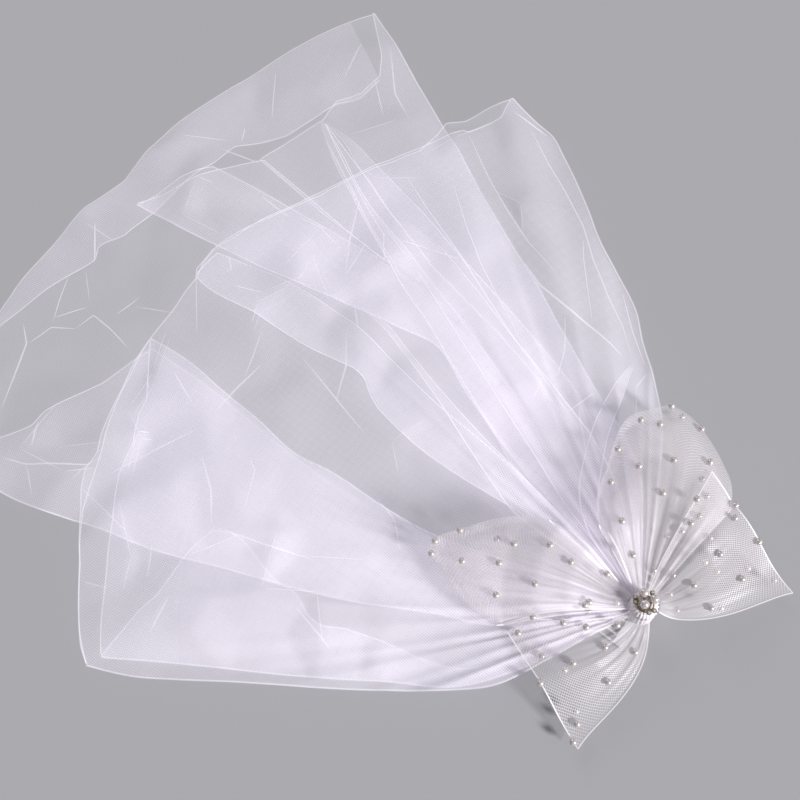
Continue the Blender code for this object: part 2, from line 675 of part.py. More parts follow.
def build_comb():
    """A plain comb that lies under the gather: a bar across it and straight teeth under the tulle."""
    middle_height = COMB_THICKNESS / 2
    form = bmesh.new()
    add_block(form, (0.0, 0.0, middle_height), (COMB_BAR_WIDTH, COMB_LENGTH, COMB_THICKNESS))
    comb = add_object("hair_comb", mesh_from(form, "hair_comb"), comb_plastic())
    pitch = (COMB_LENGTH - COMB_TOOTH_WIDTH) / (COMB_TOOTH_COUNT - 1)
    tooth_sides = (COMB_TOOTH_LENGTH, COMB_TOOTH_WIDTH, COMB_TOOTH_DEPTH_SHARE * COMB_THICKNESS)
    form = bmesh.new()
    for tooth in range(COMB_TOOTH_COUNT):
        across = (COMB_TOOTH_WIDTH - COMB_LENGTH) / 2 + tooth * pitch
        for vert in add_block(form, (COMB_TOOTH_LENGTH / 2, across, middle_height), tooth_sides):
            if vert.co.x > COMB_TOOTH_LENGTH / 2:
                vert.co.y = across + (vert.co.y - across) * COMB_TOOTH_TAPER
    teeth = add_object("comb_teeth_tool", mesh_from(form, "comb_teeth"), comb_plastic())
    teeth.hide_render = True
    teeth.display_type = "WIRE"
    union = comb.modifiers.new("teeth", "BOOLEAN")
    union.operation = "UNION"
    union.object = teeth
    for item in (comb, teeth):
        item.rotation_euler.z = math.radians(COMB_BEARING)


def set_down():
    """Move everything so that the origin is the middle of the base of the whole."""
    bpy.context.view_layer.update()
    graph = bpy.context.evaluated_depsgraph_get()
    corners = []
    for item in bpy.data.objects:
        if not item.hide_render:
            seen = item.evaluated_get(graph)
            mesh = seen.to_mesh()
            corners.extend(seen.matrix_world @ vert.co for vert in mesh.vertices)
            seen.to_mesh_clear()
    points = np.array(corners)
    low = points.min(axis=0)
    high = points.max(axis=0)
    middle = Vector(((low[0] + high[0]) / 2, (low[1] + high[1]) / 2, low[2]))
    for item in bpy.data.objects:
        item.location -= middle


def main():
    clear_scene()
    build_long_tier()
    build_short_tier()
    for lobe in ("bow_loop_left", "bow_loop_right"):
        build_loop(lobe)
    for lobe in ("bow_tail_left", "bow_tail_right"):
        build_tail(lobe)
    build_knot()
    build_brooch()
    build_pearls()
    build_comb()
    set_down()


main()
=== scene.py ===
"""A short two-tier tulle bridal veil laid out flat, gathered under a stiff net bow set with pearls."""

import math

import bmesh
import bpy
import numpy as np
from mathutils import Matrix, Vector
from mathutils.bvhtree import BVHTree


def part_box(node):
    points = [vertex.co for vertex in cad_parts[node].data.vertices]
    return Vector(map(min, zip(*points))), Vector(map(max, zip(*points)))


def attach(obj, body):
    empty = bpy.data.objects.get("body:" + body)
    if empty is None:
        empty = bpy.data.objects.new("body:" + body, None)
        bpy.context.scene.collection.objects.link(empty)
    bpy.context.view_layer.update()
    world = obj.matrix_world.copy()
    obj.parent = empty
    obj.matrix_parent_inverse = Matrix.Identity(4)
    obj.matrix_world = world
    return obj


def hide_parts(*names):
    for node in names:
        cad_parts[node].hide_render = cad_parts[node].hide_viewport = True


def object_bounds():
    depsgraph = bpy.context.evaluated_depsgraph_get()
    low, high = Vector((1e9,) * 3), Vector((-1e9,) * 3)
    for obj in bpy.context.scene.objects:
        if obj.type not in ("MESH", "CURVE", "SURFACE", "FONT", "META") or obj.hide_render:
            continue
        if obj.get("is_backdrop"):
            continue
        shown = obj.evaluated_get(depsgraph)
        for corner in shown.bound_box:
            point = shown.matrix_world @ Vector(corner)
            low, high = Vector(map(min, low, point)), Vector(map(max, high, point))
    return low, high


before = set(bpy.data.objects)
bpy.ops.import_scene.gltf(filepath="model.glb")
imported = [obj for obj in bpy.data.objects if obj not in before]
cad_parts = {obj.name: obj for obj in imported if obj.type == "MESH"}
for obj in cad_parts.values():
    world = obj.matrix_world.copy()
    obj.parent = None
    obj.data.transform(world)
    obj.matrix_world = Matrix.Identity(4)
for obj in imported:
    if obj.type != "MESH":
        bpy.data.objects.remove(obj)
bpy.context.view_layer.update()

# The camera stands where the photo was taken from: nearly straight above, a little in front of
# the bow. It comes first because outlines, creases and pearls are placed where the photo shows them.
knot_low, knot_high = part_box("bow_knot")
KNOT = (knot_low + knot_high) / 2
# In metres, from the point on the floor under the knot
CAMERA_FROM_KNOT = Vector((-0.1701, -0.2153, 0.9395))
CAMERA_TILT = math.radians(22.0)
PHOTO_PIXELS = 800
LENS = 60.0
SENSOR = 36.0
MM = 0.001

camera_data = bpy.data.cameras.new("camera")
camera_data.lens = LENS
camera_data.sensor_width = SENSOR
camera = bpy.data.objects.new("camera", camera_data)
camera.location = Vector((KNOT.x, KNOT.y, 0.0)) + CAMERA_FROM_KNOT
camera.rotation_euler = (CAMERA_TILT, 0.0, 0.0)
bpy.context.scene.collection.objects.link(camera)
bpy.context.scene.camera = camera


def seen_at(across, down, height):
    """Millimetres from the knot of what the photo shows at a pixel, at a height above the floor."""
    focal = PHOTO_PIXELS * LENS / SENSOR
    half = PHOTO_PIXELS / 2
    ray = Vector(((across - half) / focal, (half - down) / focal, -1.0))
    ray.rotate(Matrix.Rotation(CAMERA_TILT, 3, "X"))
    place = CAMERA_FROM_KNOT + ray * ((height * MM - CAMERA_FROM_KNOT.z) / ray.z)
    return place.x / MM, place.y / MM


# The longer tier is one length of soft nylon tulle, gathered at its top edge under the bow and
# folded to and fro into four leaves as it was laid down, its outer hem turned under. It is held
# only at the knot, so the leaves lie loose on each other and keep the creases of their packing.

# Height in millimetres that the folded tulle lies at, where its outlines were read off the photo
LYING_HEIGHT = 6.0


def traced(pixels, near=()):
    """Millimetres from the knot and bearings in degrees of an outline read off the photo in pixels."""
    rows = []
    for across, down in pixels:
        east, north = seen_at(across, down, LYING_HEIGHT)
        rows.append((math.hypot(east, north), math.degrees(math.atan2(north, east)) % 360.0))
    return (*rows, *near)


# Lines down the folds and free sides, in the photo's pixels. What the bow hides follows each, in
# millimetres from the knot and degrees of bearing.
FOLD_LINES = {
    "under_side": traced(((153, 350), (230, 405), (299, 460), (393, 519)), ((100, 160.0), (11, 160.0))),
    "left_fold": traced((
        (-34, 462), (0, 490), (41, 509), (87, 523), (156, 549), (230, 568), (306, 589), (357, 600),
        (442, 613),
    ), ((100, 185.0), (11, 185.0))),
    "right_fold": traced(((373, 17), (445, 135), (520, 262), (600, 400), (640, 480)), ((11, 85.0),)),
    "inner_fold": traced((
        (139, 207), (200, 240), (262, 270), (301, 288), (350, 308), (400, 330), (435, 345), (465, 390),
        (500, 442), (519, 475),
    ), ((100, 130.0), (11, 130.0))),
    "finger_side": traced((
        (326, 130), (360, 175), (400, 230), (440, 280), (475, 315), (500, 340), (557, 413),
    ), ((100, 105.0), (11, 105.0))),
}
# Hems between two fold lines, in pixels
LONG_UNDER_HEM = traced(((102, 382), (46, 412), (33, 427), (0, 439)))
LONG_SPREAD_HEM = traced((
    (-41, 425), (-34, 382), (-26, 353), (0, 316), (64, 237), (125, 181), (178, 130), (230, 92), (270, 66),
    (310, 44), (340, 29),
))
LONG_RETURN_HEM = traced((
    (382, 63), (380, 82), (362, 97), (337, 105), (324, 124), (396, 271), (260, 164), (215, 172),
    (185, 182), (157, 198),
))
LONG_FINGER_HEM = traced(((170, 198), (221, 177), (265, 166), (385, 266), (384, 238)))
# Inner edge of the turned hem
TURNED_HEM = traced((
    (380, 83), (360, 100), (337, 105), (317, 118), (287, 136), (260, 144), (235, 148), (212, 167),
    (150, 215), (125, 240), (100, 249), (96, 262), (72, 276), (45, 295), (22, 312), (0, 327),
))
# Leaves from the lowest up. Columns: first line, last line, hem, turn of the weave in degrees
LONG_LEAVES = (
    ("under_side", "left_fold", LONG_UNDER_HEM, 14.0),
    ("left_fold", "right_fold", LONG_SPREAD_HEM, 25.0),
    ("right_fold", "inner_fold", LONG_RETURN_HEM, 36.0),
    ("inner_fold", "finger_side", LONG_FINGER_HEM, 47.0),
)
# Millimetres from the knot to where the gather begins and to where the fan lies free, and the rest
GATHER_REACH = 11.0
FAN_START = 100.0
FAN_RUN = 450.0
COLUMN_ANGLE = 0.45
LEAF_ROWS = 118
ROW_CROWDING = 1.15
# How the pile stands. Columns: millimetres from the knot, millimetres up
LEAF_PITCH = ((11, 1.35), (32, 1.72), (54, 2.14), (78, 2.4), (150, 2.4), (280, 2.8), (550, 2.4))
COMB_RISE = ((54, 4.4), (78, 2.2), (100, 0.0))
PLEAT_RISE = ((11, 0.0), (32, 1.6), (54, 3.2), (78, 3.6), (100, 2.2), (150, 1.4), (260, 0.7), (420, 0.2))
WAVE_RISE = ((120, 0.0), (220, 0.9), (400, 2.0), (550, 2.4))
CRUMPLE_RISE = ((90, 0.0), (160, 0.9), (300, 3.0), (550, 3.6))
LEAF_CLEARANCE = 0.6
LEAF_SWELL = 1.2
LOWEST_HEIGHT = 0.35
# The crumples: a coarse sheet of cells, in millimetres, shared by all leaves, and each leaf's own share
OWN_CRUMPLE_SHARE = 0.15
OWN_TURN_FACTOR = 7.0
CRUMPLE_SPREAD = 1400.0
CRUMPLE_CELL = 27.0
CRUMPLE_SEED = 7
ABOVE_CRUMPLES = 9.0
RIDGE_ANGLE = 0.085
# Beside the long tier the short one sinks by levels, over some degrees past a margin
SHORT_TIER_LEVEL = 4
DROOP_MARGIN = 1.5
DROOP_LEFT = (4.0, 16.0)
DROOP_RIGHT = (7.0, 14.0)
DROOP_RUN = 80.0


def at(table, place):
    """The value of a table's second column at a place in its first, in straight steps."""
    rows = np.array(sorted(table), float)
    return np.interp(place, rows[:, 0], rows[:, 1])


def along(table, place):
    """The same, but smooth from row to row, as a fold runs."""
    rows = np.array(sorted(table), float)
    spots, values = rows[:, 0], rows[:, 1]
    slopes = np.gradient(values, spots)
    held = np.clip(place, spots[0], spots[-1])
    row = np.clip(np.searchsorted(spots, held, side="right") - 1, 0, len(spots) - 2)
    span = spots[row + 1] - spots[row]
    share = (held - spots[row]) / span
    start = (1 + 2 * share) * values[row] + share * span * slopes[row]
    end = (3 - 2 * share) * values[row + 1] + (share - 1) * span * slopes[row + 1]
    return (1 - share) ** 2 * start + share**2 * end


def ease(share):
    """A share made to start and end softly."""
    held = np.clip(share, 0.0, 1.0)
    return held * held * (3.0 - 2.0 * held)


def crumpled_facets(seed):
    """A coarse sheet of flat facets, up and down by one, and its sharpest ridges."""
    cells = int(CRUMPLE_SPREAD / CRUMPLE_CELL)
    chance = np.random.default_rng(seed)
    form = bmesh.new()
    bmesh.ops.create_grid(form, x_segments=cells, y_segments=cells, size=CRUMPLE_SPREAD / 2)
    for vert in form.verts:
        aside = chance.uniform(-0.45, 0.45, 2) * CRUMPLE_CELL
        # Some patches are more crumpled than others
        patch = 0.62 + 0.38 * math.sin(vert.co.x / 47.0 + 0.6) * math.sin(vert.co.y / 39.0 + 1.9)
        rise = patch * chance.choice((-1.0, 1.0)) * chance.uniform(0.3, 1.0)
        vert.co += Vector((aside[0], aside[1], rise))
    bmesh.ops.triangulate(form, faces=form.faces)
    inner = [edge for edge in form.edges if len(edge.link_faces) == 2]
    sharp = [edge for edge in inner if edge.calc_face_angle_signed() > RIDGE_ANGLE]
    ridges = [[tuple(vert.co.xy) for vert in edge.verts] for edge in sharp]
    facets = BVHTree.FromBMesh(form)
    form.free()
    return facets, ridges


facets, ridges = crumpled_facets(CRUMPLE_SEED)


def turned(points_east, points_north, turn):
    """Places after a turn about the knot, in degrees."""
    angle = math.radians(turn)
    across = points_east * math.cos(angle) - points_north * math.sin(angle)
    upward = points_east * math.sin(angle) + points_north * math.cos(angle)
    return across, upward


def crumple(east, north, turn):
    """Height of the facets at each place, turned by a leaf's own angle so that no two leaves agree."""
    across, upward = turned(east, north, turn * OWN_TURN_FACTOR)
    down = Vector((0.0, 0.0, -1.0))
    heights = [
        facets.ray_cast(Vector((one, two, ABOVE_CRUMPLES)), down)[0].z
        for one, two in zip(across.ravel(), upward.ravel())
    ]
    return np.array(heights).reshape(east.shape)


def droop(bearing, reach):
    """How far the short tier sinks beside the long one, which isn't under it there."""
    past_left = bearing - along(FOLD_LINES["left_fold"], reach) - DROOP_MARGIN
    past_right = along(FOLD_LINES["right_fold"], reach) - DROOP_MARGIN - bearing
    levels = DROOP_LEFT[0] * ease(past_left / DROOP_LEFT[1])
    levels = levels + DROOP_RIGHT[0] * ease(past_right / DROOP_RIGHT[1])
    return levels * at(LEAF_PITCH, reach) * ease((reach - FAN_START) / DROOP_RUN)


def pile_height(level, bearing, reach):
    """Height of a leaf with the waves and gathers that it shares with the others, not its crumples."""
    swell = np.clip((reach - FAN_START) / FAN_RUN, 0.0, 1.0)
    height = LEAF_CLEARANCE + at(COMB_RISE, reach) + level * at(LEAF_PITCH, reach)
    height = height + LEAF_SWELL * swell * (1.0 + np.sin(np.radians(6.0 * bearing)))
    waves = 1.0 + np.sin(bearing * 0.50 + 2.1 * np.sin(bearing * 0.13))
    height = height + at(WAVE_RISE, reach) * waves
    # Wide and narrow gathers together, each a little off its even place
    wander = bearing + 1.3 * np.sin(bearing * 0.23) + 0.6 * np.sin(bearing * 0.71 + reach * 0.02)
    narrow = np.abs(np.sin(wander * math.pi / 4.7))
    wide = np.abs(np.sin(wander * math.pi / 7.9 + 1.1))
    height = height + at(PLEAT_RISE, reach) * (1.0 - 0.62 * narrow - 0.38 * wide)
    if level >= SHORT_TIER_LEVEL:
        height = height - droop(bearing, reach)
    return height


def lay_point(bearing, reach, height):
    """Points in millimetres from the knot, at a bearing, a reach and a height."""
    angle = np.radians(bearing)
    return np.stack((reach * np.cos(angle), reach * np.sin(angle), height + 0.0 * reach), axis=-1)


def lay_panel(lines, first, last, hem, level, turn, columns, rows, inner=None):
    """Points of a panel of tulle between two lines, from the gather or an inner edge to its hem."""
    first_line, last_line = lines[first], lines[last]
    ends = (max(row[0] for row in first_line), max(row[0] for row in last_line))
    shares, outs = [0.0], [ends[0]]
    for reach, bearing in hem:
        one, other = along(first_line, reach), along(last_line, reach)
        shares.append(float((bearing - one) / (other - one)))
        outs.append(reach)
    order = np.argsort(shares[1:]) + 1
    shares = [0.0, *np.array(shares)[order], 1.0]
    outs = [ends[0], *np.array(outs)[order], ends[1]]
    share = np.linspace(0.0, 1.0, columns)[:, None]
    way = np.linspace(0.0, 1.0, rows)[None, :] ** ROW_CROWDING
    out = np.interp(share, shares, outs)
    near = GATHER_REACH if inner is None else inner(share)
    reach = near + (out - near) * way
    bearing = along(first_line, reach) * (1.0 - share) + along(last_line, reach) * share
    points = lay_point(bearing, reach, pile_height(level, bearing, reach))
    shared = 1.0 + crumple(points[..., 0], points[..., 1], 0.0)
    own = crumple(points[..., 0], points[..., 1], turn) * OWN_CRUMPLE_SHARE
    crumpled = points[..., 2] + at(CRUMPLE_RISE, reach) * (shared + own)
    points[..., 2] = np.maximum(crumpled, LOWEST_HEIGHT)
    return points


def weave_places(points, turn):
    """Where each point lies on the flat cloth, in millimetres, so that the net keeps its size."""
    return np.stack(turned(points[..., 0], points[..., 1], turn), axis=-1)


def gather_of(points):
    """How much closer the net is drawn than at 300 mm from the knot, held between two bounds."""
    reach = np.hypot(points[..., 0], points[..., 1])
    return np.clip((300.0 / np.maximum(reach, 1.0)) ** 0.55, 0.85, 2.2)


def grid_of(points, turn, finish=0):
    """A grid of points with its weave, its gather and the number of its finish."""
    return points, weave_places(points, turn), gather_of(points), finish


def fold_columns(low, high, sign):
    """Rounds a fold over from the last column of one leaf to the first of the next."""
    half = (high[:, 2] - low[:, 2]) / 2
    reach = np.hypot(low[:, 0], low[:, 1])
    edge = np.arctan2(low[:, 1], low[:, 0])
    rounds = []
    for angle in np.radians((30.0, 60.0, 90.0, 120.0, 150.0)):
        bearing = edge + sign * half * math.sin(angle) / reach
        height = low[:, 2] + half * (1.0 - math.cos(angle))
        rounds.append(lay_point(np.degrees(bearing), reach, height))
    return np.array(rounds)


RIBBON_LIFT = 0.25


def lay_ribbon(line, width, taper):
    """A narrow strip along a line, where the net is pinched double and catches the light."""
    line = np.array(line, float)
    run = np.gradient(line, axis=0)
    side = np.stack((-run[:, 1], run[:, 0], 0.0 * run[:, 0]), axis=-1)
    side = side / np.maximum(np.linalg.norm(side, axis=1), 1e-9)[:, None]
    way = np.linspace(0.0, 1.0, len(line))
    half = np.full(len(line), width / 2)
    if taper:
        half = half * np.clip(np.sin(math.pi * way), 0.0, 1.0) ** 0.6
    lifted = line + np.array((0.0, 0.0, RIBBON_LIFT))
    return np.array((lifted - side * half[:, None], lifted + side * half[:, None]))


FOLD_LINE_WIDTH = 1.1
HEM_LINE_WIDTH = 0.8
RIDGE_LINE_WIDTH = 0.6


def lay_tier(lines, leaves, lowest):
    """Grids of a whole tier: its leaves in one folded sheet, and the bright lines of folds and hems."""
    parts, places, lined = [], [], []
    for number, (first, last, hem, turn) in enumerate(leaves):
        span = abs(lines[last][-1][1] - lines[first][-1][1])
        hem_span = abs(lines[last][0][1] - lines[first][0][1])
        columns = max(10, int(max(span, hem_span) / COLUMN_ANGLE))
        points = lay_panel(lines, first, last, hem, lowest + number, turn, columns, LEAF_ROWS)
        if parts:
            before = leaves[number - 1]
            way = lines[before[1]][-1][1] - lines[before[0]][-1][1]
            rounds = fold_columns(parts[-1][-1], points[0], math.copysign(1.0, way))
            parts.append(rounds)
            places.append(weave_places(rounds, turn))
            lined.append((lay_ribbon(rounds[len(rounds) // 2 + 1], FOLD_LINE_WIDTH, False), turn))
        parts.append(points)
        places.append(weave_places(points, turn))
        lined.append((lay_ribbon(points[:, -1], HEM_LINE_WIDTH, False), turn))
        if number == 0:
            lined.append((lay_ribbon(points[0], HEM_LINE_WIDTH, False), turn))
        if number == len(leaves) - 1:
            lined.append((lay_ribbon(points[-1], HEM_LINE_WIDTH, False), turn))
    sheet = np.concatenate(parts)
    grids = [(sheet, np.concatenate(places), gather_of(sheet), 0)]
    return grids + [grid_of(strip, turn, 1) for strip, turn in lined]


def leaf_height(level, east, north):
    """Height of a leaf at each place, with the crumples that all leaves share."""
    reach = np.hypot(east, north)
    bearing = np.degrees(np.arctan2(north, east)) % 360.0
    shared = at(CRUMPLE_RISE, reach) * (1.0 + crumple(east, north, 0.0))
    return pile_height(level, bearing, reach) + shared


CREASE_HEIGHT = 8.0
CREASE_LIFT = 0.3
CREASE_STEPS = 8


def lay_creases(creases):
    """Creases: strips of doubled net, painted whiter as a highlight. Columns: level, width and the
    photo's pixels that one runs through.
    """
    grids = []
    for level, width, pixels in creases:
        corners = np.array([seen_at(one, two, CREASE_HEIGHT) for one, two in pixels])
        steps = np.linspace(0.0, len(corners) - 1.0, CREASE_STEPS * len(corners))
        east = np.interp(steps, np.arange(len(corners)), corners[:, 0])
        north = np.interp(steps, np.arange(len(corners)), corners[:, 1])
        height = leaf_height(level, east, north) + CREASE_LIFT
        line = np.stack((east, north, height), axis=-1)
        grids.append(grid_of(lay_ribbon(line, width, True), 0.0, 2))
    return grids


RIDGE_STEPS = 9
RIDGE_LIFT = 0.2
# A ridge keeps off a leaf's sides by a share of its width, and off its hem by millimetres
SIDE_MARGIN = 0.03
HEM_MARGIN = 6.0


def lay_ridges(lines, leaves, lowest, spared):
    """The facets' ridges as fine creases painted bright as a highlight on their crests, on the uppermost
    leaf there, past the spared reach.
    """
    grids = []
    for start, end in ridges:
        line = np.linspace(start, end, RIDGE_STEPS)
        reach = np.hypot(line[:, 0], line[:, 1])
        bearing = np.degrees(np.arctan2(line[:, 1], line[:, 0])) % 360.0
        if reach.min() < spared:
            continue
        for level in reversed(range(len(leaves))):
            first, last, hem, _ = leaves[level]
            one, other = along(lines[first], reach), along(lines[last], reach)
            share = (bearing - one) / (other - one)
            out = at([(b, r) for r, b in (*hem, lines[first][0], lines[last][0])], bearing)
            inside = share.min() > SIDE_MARGIN and share.max() < 1.0 - SIDE_MARGIN
            if inside and (out - reach).min() > HEM_MARGIN:
                height = leaf_height(lowest + level, line[:, 0], line[:, 1]) + RIDGE_LIFT
                strip = lay_ribbon(np.column_stack((line, height)), RIDGE_LINE_WIDTH, True)
                grids.append(grid_of(strip, 0.0, 2))
                break
    return grids


def sheet_mesh(name, grids):
    """One mesh from grids of points, with its weave, its gather and its finishes."""
    form = bmesh.new()
    for points, _, _, _ in grids:
        rows, columns = points.shape[:2]
        bmesh.ops.create_grid(form, x_segments=columns - 1, y_segments=rows - 1, size=1.0)
    mesh = bpy.data.meshes.new(name)
    form.to_mesh(mesh)
    form.free()
    points = np.concatenate([grid[0].reshape(-1, 3) for grid in grids]) * MM
    points += np.array((KNOT.x, KNOT.y, 0.0))
    mesh.vertices.foreach_set("co", points.ravel())
    gather = mesh.attributes.new("gather", "FLOAT", "POINT")
    gather.data.foreach_set("value", np.concatenate([np.ravel(grid[2]) for grid in grids]))
    corners = np.zeros(len(mesh.loops), int)
    mesh.loops.foreach_get("vertex_index", corners)
    weave = mesh.uv_layers.new(name="weave")
    places = np.concatenate([grid[1].reshape(-1, 2) for grid in grids]) * MM
    weave.data.foreach_set("uv", places[corners].ravel())
    numbers = [np.full((g[0].shape[0] - 1) * (g[0].shape[1] - 1), g[3], int) for g in grids]
    mesh.polygons.foreach_set("material_index", np.concatenate(numbers))
    mesh.shade_smooth()
    mesh.update()
    return mesh


def hang(name, mesh, *finishes):
    """Makes a finished piece of the veil, riding with it."""
    piece = bpy.data.objects.new(name, mesh)
    bpy.context.scene.collection.objects.link(piece)
    for finish in finishes:
        mesh.materials.append(finish)
    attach(piece, "root")
    return piece


def colour(code):
    """A colour for the shaders from its sRGB hex value."""
    parts = [int(code[place : place + 2], 16) / 255 for place in (1, 3, 5)]
    return (*(p / 12.92 if p <= 0.04045 else ((p + 0.055) / 1.055) ** 2.4 for p in parts), 1.0)


def finish_of(name, sockets):
    """A material of one Principled shader, with its sockets set."""
    finish = bpy.data.materials.new(name)
    finish.use_nodes = True
    shader = finish.node_tree.nodes["Principled BSDF"]
    for socket, value in sockets.items():
        shader.inputs[socket].default_value = value
    return finish, shader


def add_node(finish, kind, settings, links):
    """Adds a node with its settings and links, given by name or by the socket's number."""
    node = finish.node_tree.nodes.new(kind)
    for name, value in settings.items():
        if isinstance(name, str) and hasattr(node, name):
            setattr(node, name, value)
        else:
            node.inputs[name].default_value = value
    for name, source in links.items():
        finish.node_tree.links.new(source, node.inputs[name])
    return node


def net_alpha(finish, shader, thread, other_thread, open_share, thread_share, gathered):
    """Threads crossing both ways on the weave, closed up where the cloth is gathered."""
    weave = add_node(finish, "ShaderNodeUVMap", {"uv_map": "weave"}, {})
    # A wave texture repeats each time 20 times its scale times the place grows by a full turn
    bands = []
    for spacing, direction in ((thread, "X"), (other_thread, "Y")):
        scale = math.tau / (20.0 * spacing * MM)
        settings = {"wave_type": "BANDS", "bands_direction": direction, "Scale": scale}
        bands.append(add_node(finish, "ShaderNodeTexWave", settings, {"Vector": weave.outputs[0]}))
    joined = add_node(
        finish, "ShaderNodeMath", {"operation": "MAXIMUM"},
        {0: bands[0].outputs["Fac"], 1: bands[1].outputs["Fac"]},
    )
    threads = add_node(
        finish, "ShaderNodeMapRange",
        {"interpolation_type": "SMOOTHSTEP", "From Min": 0.6, "From Max": 1.0, "To Min": open_share,
         "To Max": thread_share},
        {"Value": joined.outputs[0]},
    )
    result = threads.outputs["Result"]
    if gathered:
        gather = add_node(finish, "ShaderNodeAttribute", {"attribute_name": "gather"}, {})
        clear = add_node(finish, "ShaderNodeMath", {"operation": "SUBTRACT", 0: 1.0}, {1: result})
        folded = add_node(
            finish, "ShaderNodeMath", {"operation": "POWER"},
            {0: clear.outputs[0], 1: gather.outputs["Fac"]},
        )
        closed = add_node(
            finish, "ShaderNodeMath", {"operation": "SUBTRACT", 0: 1.0}, {1: folded.outputs[0]},
        )
        result = closed.outputs[0]
    finish.node_tree.links.new(result, shader.inputs["Alpha"])


# Nylon tulle is knitted from bare filament in holes about 1 mm wide. Here they are 1.5 mm, so that
# they show in the render. It is clear white with a cool lilac cast and a faint silky sheen.
soft_tulle, tulle_shader = finish_of("soft nylon tulle", {
    "Base Color": colour("#E9E4EE"), "Roughness": 0.5, "Specular IOR Level": 0.4,
    "Sheen Weight": 0.15, "Sheen Roughness": 0.4, "Sheen Tint": colour("#F4EFFA"),
})
net_alpha(soft_tulle, tulle_shader, 1.45, 1.6, 0.08, 0.30, True)
# Where it is folded over or pinched, several layers of it stand on edge and read as a thin line. The
# strip is also painted whiter than the tulle, a painted highlight along folds, hems and pleat edges
doubled_net_and_highlight, _ = finish_of("nylon tulle on the fold with painted highlight", {
    "Base Color": colour("#F4F0F8"), "Roughness": 0.45, "Specular IOR Level": 0.5,
    "Sheen Weight": 0.2, "Alpha": 0.5,
})
# Creases and the crumples' ridges: strips of doubled net, painted whiter than the tulle as a painted
# highlight
crease_net_and_highlight, _ = finish_of("nylon tulle in a crease with painted highlight", {
    "Base Color": colour("#F4F0F8"), "Roughness": 0.45, "Specular IOR Level": 0.5, "Alpha": 0.4,
})

LONG_CREASES = (
    (1, 1.4, ((24, 325), (27, 344), (17, 370), (2, 410))), (1, 1.1, ((29, 344), (52, 329), (77, 331))),
    (1, 1.0, ((77, 331), (95, 318), (112, 332), (129, 350))), (1, 0.9, ((70, 277), (54, 325))),
    (1, 1.0, ((56, 320), (89, 310))), (1, 1.3, ((97, 226), (96, 250), (95, 264))),
    (1, 0.8, ((140, 297), (117, 317))), (1, 0.7, ((86, 271), (91, 305))),
    (1, 0.7, ((135, 307), (175, 314))), (0, 1.3, ((39, 422), (32, 447))),
    (0, 1.1, ((2, 458), (27, 465), (86, 464), (105, 455))), (0, 0.8, ((86, 464), (72, 481))),
    (0, 0.7, ((27, 465), (32, 497))), (1, 0.8, ((276, 72), (272, 120))), (1, 0.9, ((362, 47), (345, 80))),
    (1, 1.0, ((375, 82), (384, 120))), (1, 1.2, ((390, 47), (395, 95), (410, 122))),
    (1, 1.0, ((245, 128), (242, 142))), (2, 1.2, ((222, 152), (262, 167))),
    (2, 1.0, ((262, 200), (290, 220))), (3, 1.4, ((327, 145), (345, 180), (372, 232), (405, 285))),
)
# The turned hem is a flap under the spread leaf, between two bearings, out to where the hem runs
FLAP_START, FLAP_END = 112.7, 155.1
FLAP_LEVEL = 0.4
FLAP_TURN = 33.0
flap_lines = {
    "start": ((550, FLAP_START), (400, FLAP_START)),
    "end": ((532, FLAP_END), (400, FLAP_END)),
}
hem_reaches = [(bearing, reach) for reach, bearing in LONG_SPREAD_HEM]
flap_hem = [(at(hem_reaches, bearing), bearing) for bearing in range(116, 154, 2)]


def flap_inner(share):
    """Reach of the turned hem's inner edge at a share across the flap."""
    bearing = FLAP_START + (FLAP_END - FLAP_START) * share
    return at([(b, r) for r, b in TURNED_HEM], bearing)


flap = lay_panel(flap_lines, "start", "end", flap_hem, FLAP_LEVEL, FLAP_TURN, 90, 12, flap_inner)
long_grids = lay_tier(FOLD_LINES, LONG_LEAVES, 0)
long_grids.append(grid_of(flap, FLAP_TURN))
long_grids.append(grid_of(lay_ribbon(flap[:, 0], HEM_LINE_WIDTH, False), FLAP_TURN, 1))
# Narrow pleats that stand up from the spread leaf and run in to the gather
LONG_PLEATS = (
    (
        traced((
            (321, 127), (327, 147), (337, 172), (352, 200), (375, 242), (407, 297), (430, 330),
            (455, 372), (500, 442),
        ), ((60, 128.0), (11, 128.0))),
        traced((
            (322, 126), (345, 165), (360, 195), (381, 224), (405, 253), (430, 285), (484, 355),
            (530, 424),
        ), ((60, 118.0), (11, 118.0))),
    ),
    (
        traced((
            (326, 130), (345, 150), (360, 175), (375, 195), (400, 230), (440, 280), (475, 315),
            (500, 340), (565, 424),
        ), ((60, 104.0), (11, 104.0))),
        traced((
            (326, 130), (352, 148), (391, 187), (423, 219), (465, 269), (524, 332), (588, 418),
        ), ((60, 98.0), (11, 98.0))),
    ),
)


def lay_pleat(first, last, level, turn):
    """A pleat's net between its two edges, and a bright line down each."""
    lines = {"first": first, "last": last}
    points = lay_panel(lines, "first", "last", (), level, turn, 14, 90)
    edges = [lay_ribbon(points[place], FOLD_LINE_WIDTH, True) for place in (0, -1)]
    return [grid_of(points, turn)] + [grid_of(edge, turn, 1) for edge in edges]


LONG_PLEAT_LEVEL = 3.4
PLEAT_LEVEL_STEP = 0.2
LONG_SPARED = 240.0
for number, (first, last) in enumerate(LONG_PLEATS):
    level = LONG_PLEAT_LEVEL + PLEAT_LEVEL_STEP * number
    long_grids += lay_pleat(first, last, level, 24.0 + 30.0 * number)
long_grids += lay_creases(LONG_CREASES)
long_grids += lay_ridges(FOLD_LINES, LONG_LEAVES, 0, LONG_SPARED)
long_mesh = sheet_mesh("tulle_long_tier", long_grids)
long_tier = hang("tulle_long_tier", long_mesh, soft_tulle, doubled_net_and_highlight, crease_net_and_highlight)
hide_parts("veil_tier_long")

